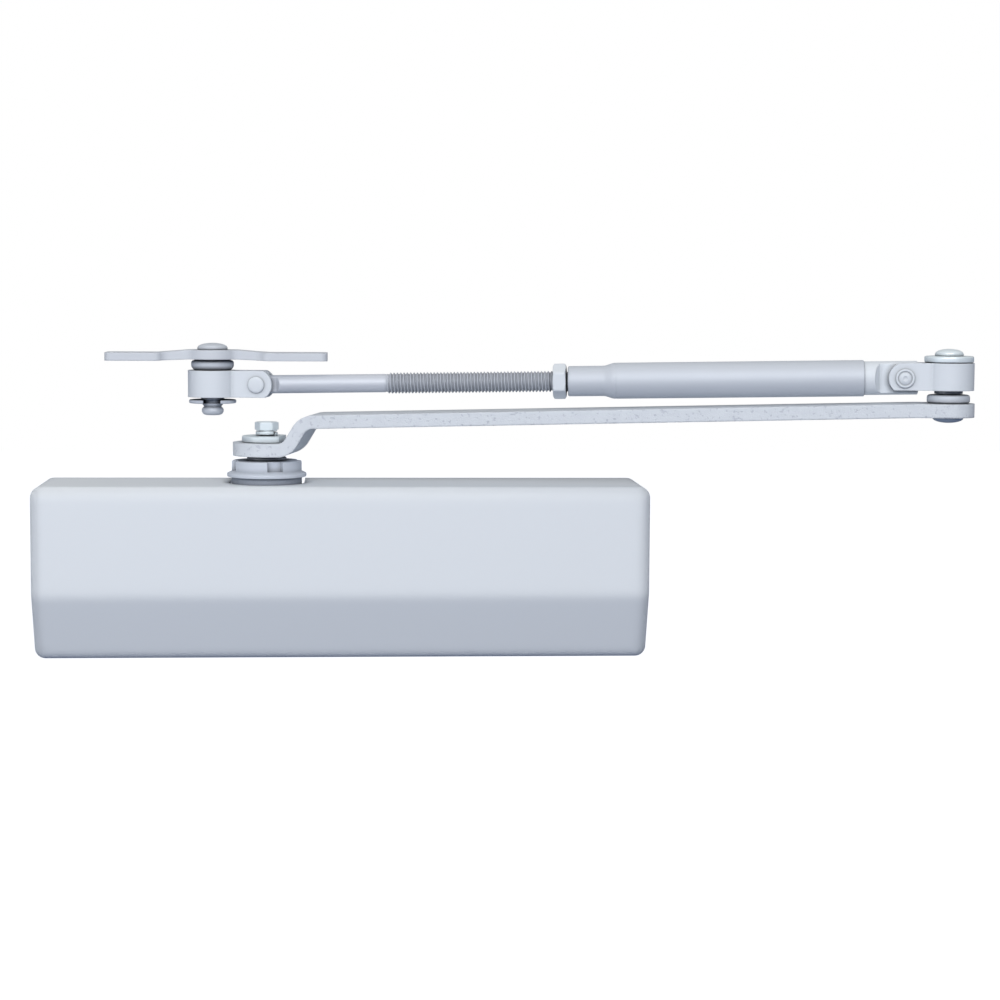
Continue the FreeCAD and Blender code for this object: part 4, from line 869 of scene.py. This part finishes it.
@dataclass
class Elbow:
    """Pin, washers and rivet of the elbow, heights from the row's origin."""

    pin_radius: float = 3.5
    foot_radius: float = 5.6
    foot_low: float = 57.95
    foot_high: float = 60.05
    spacer_radius: float = 7.8
    spacer_low: float = 65.05
    spacer_high: float = 68.35
    washer_radius: float = 8.95
    washer_low: float = 80.05
    washer_high: float = 82.35
    head_radius: float = 5.2
    head_rim: float = 0.75
    head_top: float = 84.95
    rivet_radius: float = 2.5
    rivet_head: float = 3.45
    leg_half: float = 6.6

    def pin(self) -> None:
        """Riveted pin with a low domed head."""
        foot = dome(self.foot_radius, -self.foot_high + 0.35, -self.foot_low)
        outline = [(radius, -height) for radius, height in foot[::-1]]
        outline += [(self.foot_radius, self.foot_high), (self.pin_radius, self.foot_high),
                    (self.pin_radius, self.washer_high)]
        outline += domed_head(self.head_radius, self.washer_high, self.head_rim, self.head_top)
        BENCH.seat("elbow_pin_riveted", "elbow_pin", revolve(outline),
                   PLACES.upright("elbow_turn"))

    def washers(self) -> None:
        """Rounded spacer on the arm and bright washer under the pin's head."""
        place = PLACES.upright("elbow_turn")
        spacer = soften([(self.pin_radius, self.spacer_low, 0.0),
                         (self.spacer_radius - 0.55, self.spacer_low, 0.2),
                         (self.spacer_radius - 0.55, self.spacer_low + 0.3, 0.1),
                         (self.spacer_radius, self.spacer_low + 0.55, 0.7),
                         (self.spacer_radius, self.spacer_high - 0.1, 1.1),
                         (self.pin_radius, self.spacer_high, 0.0)], closed=True)
        BENCH.seat("elbow_spacer_round", "elbow_spacer", revolve(spacer, True), place)
        washer = soften([(self.pin_radius, self.washer_low, 0.0),
                         (self.washer_radius, self.washer_low, 0.45),
                         (self.washer_radius, self.washer_high, 0.7),
                         (self.pin_radius, self.washer_high, 0.0)], closed=True)
        BENCH.seat("elbow_washer_bright", "elbow_washer", revolve(washer, True), place)

    def rivet(self) -> None:
        """Knuckle rivet whose heads have a raised ring, a groove and a small dimple."""
        ring = self.rivet_head
        head = soften([(self.rivet_radius, 0.0, 0.0), (ring, 0.0, 0.0), (ring, 0.75, 0.35),
                       (ring - 0.75, 0.85, 0.25), (ring - 0.95, 0.42, 0.12),
                       (ring - 1.4, 0.75, 0.5), (0.95, 1.1, 0.5), (0.5, 0.78, 0.3),
                       (0.0, 0.72, 0.0)])
        BENCH.seat("elbow_rivet_ringed", "elbow_rivet",
                   revolve(two_heads(head, self.leg_half)), PLACES.rivet("elbow_tilt"))

    def build(self) -> None:
        """Makes the elbow's small pieces."""
        self.pin()
        self.washers()
        self.rivet()


# Forearm

@dataclass
class Forearm:
    """Tube, lug, lock nut and threaded rod, measured from the elbow's rivet."""

    lug_radius: float = 6.15
    lug_back: float = -4.9
    lug_half: float = 3.0
    flat_end: float = 8.7
    cutter: float = 2.1
    tube_start: float = 14.5
    tube_radius: float = 6.65
    taper_start: float = 105.4
    taper_end: float = 110.0
    neck_radius: float = 5.6
    mouth: float = 122.9
    bore: float = 4.2
    bore_start: float = 22.0
    nut_low: float = 123.6
    nut_high: float = 128.4
    nut_flats: float = 11.5
    nut_blank_share: float = 0.585
    nut_bore: float = 3.95
    rod_inner: float = 60.0
    thread_radius: float = 3.9
    thread_root: float = 3.24
    thread_pitch: float = 1.25
    thread_crest: float = 0.10
    thread_foot: float = 0.52
    rod_radius: float = 3.4
    plain_length: float = 47.8
    tongue_reach: float = 7.1
    tongue_half: float = 2.1
    tongue_cutter: float = 1.5
    tongue_radius: float = 3.9

    def tube(self) -> None:
        """Tube that narrows softly towards its mouth."""
        outline = soften([(0.0, self.tube_start, 0.0), (self.tube_radius, self.tube_start, 0.45),
                          (self.tube_radius, self.taper_start - 1.2, 0.0)])
        outline += [(self.tube_radius, self.taper_start - 0.5),
                    (self.tube_radius - 0.07, self.taper_start - 0.3),
                    (self.tube_radius - 0.07, self.taper_start - 0.15),
                    (self.tube_radius - 0.01, self.taper_start)]
        for share in steps_between(0.08, 1.0, 12):
            fall = (1.0 - math.cos(math.pi * share)) / 2
            outline.append((self.tube_radius + (self.neck_radius - self.tube_radius) * fall,
                            self.taper_start + (self.taper_end - self.taper_start) * share))
        outline += soften([(self.neck_radius, self.taper_end + 1.0, 0.0),
                           (self.neck_radius, self.mouth, 0.6),
                           (self.bore, self.mouth, 0.3), (self.bore, self.bore_start, 0.0),
                           (0.0, self.bore_start, 0.0)])
        BENCH.seat("forearm_tube_drawn", "forearm_tube", revolve(outline), PLACES.forearm())

    def lug(self) -> None:
        """Solid end of the tube with two milled flats and their round run-out."""
        start, end = self.lug_back, self.tube_start
        runout = steps_between(-self.flat_end - self.cutter, -self.flat_end, 24)
        heights = steps_between(-end, runout[0] - 0.1, 4) + runout
        heights += steps_between(-self.flat_end + 0.5, -start - 0.3, 6)
        rows = [(self.lug_radius, height) for height in heights]
        outline = [(0.0, -end)] + rows
        outline += [(self.lug_radius - 0.12, -start - 0.1), (self.lug_radius - 0.35, -start),
                    (0.0, -start)]
        mesh = revolve(outline, angles=even_turns(240),
                       reach=two_flats(self.lug_half, -self.flat_end, self.cutter,
                                       self.lug_radius))
        BENCH.seat("tube_lug_milled", "tube_lug", mesh,
                   PLACES.forearm() @ Matrix.Rotation(math.pi, 4, "X"), crease=25.0)

    def nut(self) -> None:
        """Thin lock nut with both ends chamfered."""
        wide = self.nut_flats * self.nut_blank_share
        low, high = self.nut_low, self.nut_high
        chamfer = [(wide - 1.0, 0.0), (wide - 0.75, 0.12), (wide - 0.5, 0.28),
                   (wide - 0.25, 0.46), (wide, 0.68)]
        rows = [(self.nut_bore, low + 0.4), (self.nut_bore + 0.4, low)]
        rows += [(radius, low + depth) for radius, depth in chamfer]
        rows += [(radius, high - depth) for radius, depth in chamfer[::-1]]
        rows += [(self.nut_bore + 0.4, high), (self.nut_bore, high - 0.4)]
        BENCH.seat("lock_nut_chamfered", "lock_nut",
                   revolve(rows, True, reach=six_sided(self.nut_flats, 0.985)),
                   PLACES.forearm())

    def rod(self) -> None:
        """Rod with a rolled thread, a plain end and a flattened tongue at its rivet."""
        elbow = PLACES.point("elbow_tilt")
        length = (PLACES.point("shoe_tilt") - elbow).length
        thread_end = length - self.plain_length
        flats = length - self.tongue_reach
        core = self.thread_root
        outline = soften([(0.0, self.rod_inner, 0.0), (core, self.rod_inner, 0.5),
                          (core, thread_end - 0.4, 0.0), (self.rod_radius, thread_end, 0.0)])
        shoulder = math.sqrt(self.tongue_radius ** 2 - self.rod_radius ** 2)
        heights = steps_between(thread_end + 1.0, flats - 1.7, 8)
        heights += steps_between(flats - 1.5, flats + 0.2, 22)
        heights += steps_between(flats + 0.8, length - shoulder, 5)
        outline += [(self.rod_radius, height) for height in heights]
        for turn in steps_between(-math.asin(shoulder / self.tongue_radius), math.pi / 2, 18)[1:]:
            outline.append((max(self.tongue_radius * math.cos(turn), 0.0),
                            length + self.tongue_radius * math.sin(turn)))
        outline[-1] = (0.0, length + self.tongue_radius)
        bar = revolve(outline, angles=even_turns(192),
                      reach=two_flats(self.tongue_half, flats, self.tongue_cutter,
                                      self.rod_radius))
        crest, foot = self.thread_crest, self.thread_foot
        ridge = [(core - 0.3, -foot), (core, -foot), (self.thread_radius - 0.04, -crest),
                 (self.thread_radius, 0.0), (self.thread_radius - 0.04, crest), (core, foot),
                 (core - 0.3, foot)]
        start = self.rod_inner + 1.5
        turns = (thread_end - 0.6 - start) / self.thread_pitch
        thread = wind(ridge, turns, self.thread_pitch, start, fade=0.8, root=core)
        BENCH.seat("adjusting_rod", "threaded_rod", join(bar, thread), PLACES.forearm(),
                   crease=25.0)

    def build(self) -> None:
        """Makes the forearm."""
        self.tube()
        self.lug()
        self.nut()
        self.rod()


# Shoe

@dataclass
class Shoe:
    """Pin, spacer and rivet of the shoe, heights from the row's origin."""

    pin_radius: float = 4.35
    neck_radius: float = 3.75
    groove_radius: float = 3.2
    clip_low: float = 62.55
    clip_high: float = 63.85
    knob_low: float = 58.05
    knob_high: float = 61.45
    knob_radius: float = 4.1
    knob_round: float = 1.9
    plate_top: float = 82.5
    head_radius: float = 5.65
    head_rim: float = 0.75
    head_top: float = 85.05
    spacer_radius: float = 7.95
    spacer_low: float = 75.05
    spacer_high: float = 79.0
    rivet_radius: float = 2.5
    rivet_head: float = 3.05
    leg_half: float = 4.7

    def pin(self) -> None:
        """Headed pin with a clip groove and a rounded button at its foot."""
        low, high = self.knob_low, self.knob_high
        middle = (low + high) / 2
        tall = (high - low) / 2
        button = soften([(0.0, low + 0.5, 0.0), (0.7, low + 0.45, 0.3), (1.3, low, 0.5),
                         (2.2, low, 0.0)])
        for turn in steps_between(-math.pi / 2, 1.05, 14):
            button.append((self.knob_radius - self.knob_round + self.knob_round * math.cos(turn),
                           middle + tall * math.sin(turn)))
        neck = self.neck_radius
        groove_low, groove_high = self.clip_low - 0.05, self.clip_high + 0.05
        outline = button + [(neck - 0.35, high - 0.1), (neck - 0.35, high + 0.25),
                            (neck, high + 0.35), (neck, self.clip_low - 0.3),
                            (neck, groove_low), (self.groove_radius, groove_low),
                            (self.groove_radius, groove_high), (self.pin_radius, groove_high),
                            (self.pin_radius, self.plate_top)]
        outline += domed_head(self.head_radius, self.plate_top, self.head_rim, self.head_top)
        BENCH.seat("shoe_pin_headed", "shoe_pin", revolve(outline),
                   PLACES.upright("shoe_pivot"))

    def spacer(self) -> None:
        """Barrel-shaped spacer with a dark line under the plate."""
        low, high, wide = self.spacer_low, self.spacer_high, self.spacer_radius
        section = soften([(self.pin_radius, low, 0.0), (wide - 0.9, low, 0.4),
                          (wide, low + 1.1, 0.9), (wide, high - 1.1, 0.8),
                          (wide - 0.5, high - 0.5, 0.3), (wide - 1.2, high - 0.45, 0.1),
                          (wide - 1.2, high, 0.0), (self.pin_radius, high, 0.0)], closed=True)
        BENCH.seat("shoe_spacer_barrel", "shoe_spacer", revolve(section, True),
                   PLACES.upright("shoe_pivot"))

    def rivet(self) -> None:
        """Knuckle rivet with flat heads and soft edges."""
        wide = self.rivet_head
        head = soften([(self.rivet_radius, 0.0, 0.0), (wide, 0.0, 0.0), (wide, 0.65, 0.5),
                       (wide - 0.9, 0.95, 0.5), (0.0, 1.05, 0.0)])
        BENCH.seat("shoe_rivet_flat", "shoe_rivet",
                   revolve(two_heads(head, self.leg_half)), PLACES.rivet("shoe_tilt"))

    def build(self) -> None:
        """Makes the shoe's small pieces."""
        self.pin()
        self.spacer()
        self.rivet()


# Stage

@dataclass
class Stage:
    """Floor, lamps, surroundings and camera, places in millimetres from the frame's origin."""

    camera_place: Spot = (-1.1, -938.0, 108.6)
    camera_target: Spot = (59.7, -22.0, 25.8)
    camera_roll: float = 0.33
    view_width: float = 380.0
    sensor_width: float = 36.0
    floor_size: float = 8000.0
    floor_level: float = -240.0
    floor_tone: Colour = (0.12, 0.155, 0.25)
    floor_glow: float = 0.955
    lamp_target: Spot = (59.0, -30.0, 20.0)
    key_place: Spot = (0.0, -1100.0, 600.0)
    key_size: tuple[float, float] = (1300.0, 600.0)
    key_power: float = 11.3
    fill_place: Spot = (-900.0, -700.0, 150.0)
    fill_size: tuple[float, float] = (700.0, 700.0)
    fill_power: float = 1.6
    world_power: float = 0.47
    ground_tone: Colour = (0.33, 0.41, 0.62)
    ground_end: float = 0.42
    sky_tone: Colour = (0.82, 0.85, 0.89)
    sky_start: float = 0.62

    def floor(self) -> None:
        """A wide floor that the camera sees as white apart from the shadow."""
        bpy.ops.mesh.primitive_plane_add(size=mm(self.floor_size),
                                         location=(0, 0, mm(self.floor_level)))
        plane = bpy.context.object
        plane.name = "floor"
        material = bpy.data.materials.new("pale_floor")
        material.use_nodes = True
        tree = material.node_tree
        shader = tree.nodes["Principled BSDF"]
        shader.inputs["Base Color"].default_value = (*self.floor_tone, 1.0)
        shader.inputs["Roughness"].default_value = 0.8
        shader.inputs["Emission Color"].default_value = WHITE
        path = add_node(tree, "LightPath")
        seen = add_node(tree, "Math", {1: self.floor_glow}, operation="MULTIPLY")
        wire(tree, (path, "Is Camera Ray", seen, 0), (seen, 0, shader, "Emission Strength"))
        plane.data.materials.append(material)

    @staticmethod
    def aim(item: bpy.types.Object, place: Spot, target: Spot, roll: float = 0.0) -> None:
        """Stands a lamp or a camera at a place and points it at a target.

        Args:
            item: the lamp or the camera.
            place: where it stands, in millimetres.
            target: the point it faces, in millimetres.
            roll: its turn about its own line of sight, in degrees.
        """
        item.location = Vector(place) / 1000.0
        item.rotation_mode = "QUATERNION"
        turn = (Vector(target) - Vector(place)).to_track_quat("-Z", "Y")
        item.rotation_quaternion = turn @ Quaternion((0.0, 0.0, 1.0), math.radians(roll))

    def lamp(self, name: str, place: Spot, size: tuple[float, float], power: float) -> None:
        """Adds an area lamp that points at the object.

        Args:
            name: the lamp's name.
            place: where it stands, in millimetres.
            size: its width and height in millimetres.
            power: its power in watts.
        """
        data = bpy.data.lights.new(name, "AREA")
        data.shape = "RECTANGLE"
        data.size, data.size_y = mm(size[0]), mm(size[1])
        data.energy = power
        self.aim(place_in_scene(name, data), place, self.lamp_target)

    def lights(self) -> None:
        """A large key lamp over the camera and a low fill from the left."""
        self.lamp("key", self.key_place, self.key_size, self.key_power)
        self.lamp("fill", self.fill_place, self.fill_size, self.fill_power)

    def surroundings(self) -> None:
        """White to the camera, and a soft sky with a darker ground to the object."""
        world = bpy.data.worlds.new("studio")
        bpy.context.scene.world = world
        world.use_nodes = True
        tree = world.node_tree
        light = tree.nodes["Background"]
        light.inputs["Strength"].default_value = self.world_power
        plain = add_node(tree, "Background", {"Color": WHITE, "Strength": 1.0})
        path = add_node(tree, "LightPath")
        blend = add_node(tree, "MixShader")
        place = add_node(tree, "TexCoord")
        parts = add_node(tree, "SeparateXYZ")
        ramp = add_node(tree, "ValToRGB")
        tones = ((self.ground_end, self.ground_tone), (self.sky_start, self.sky_tone))
        for element, (position, tone) in zip(ramp.color_ramp.elements, tones):
            element.position = position
            element.color = (*tone, 1.0)
        ramp.color_ramp.elements.new(1.0).color = WHITE
        level = add_node(tree, "MapRange", {"From Min": -1.0})
        wire(tree, (place, "Generated", parts, "Vector"), (parts, "Z", level, "Value"),
             (level, "Result", ramp, "Fac"), (ramp, "Color", light, "Color"),
             (path, "Is Camera Ray", blend, "Fac"), (light, 0, blend, 1), (plain, 0, blend, 2),
             (blend, 0, tree.nodes["World Output"], "Surface"))

    def camera(self) -> None:
        """The camera at the photograph's place, over the middle of the body."""
        data = bpy.data.cameras.new("camera")
        data.sensor_width = self.sensor_width
        distance = (Vector(self.camera_target) - Vector(self.camera_place)).length
        data.lens = self.sensor_width * distance / self.view_width
        camera = place_in_scene("camera", data)
        self.aim(camera, self.camera_place, self.camera_target, self.camera_roll)
        bpy.context.scene.camera = camera

    def build(self) -> None:
        """Sets up the whole stage."""
        self.floor()
        self.lights()
        self.surroundings()
        self.camera()
        bpy.context.scene.view_settings.view_transform = "Standard"


def main() -> None:
    """Dresses the closer, makes its fine pieces and sets the stage."""
    logging.basicConfig(level=logging.INFO)
    dress_nodes()
    GlandNut().build()
    ArmFastener().build()
    ClosingSprings().build()
    Elbow().build()
    Forearm().build()
    Shoe().build()
    Stage().build()


if __name__ == "__main__":
    main()
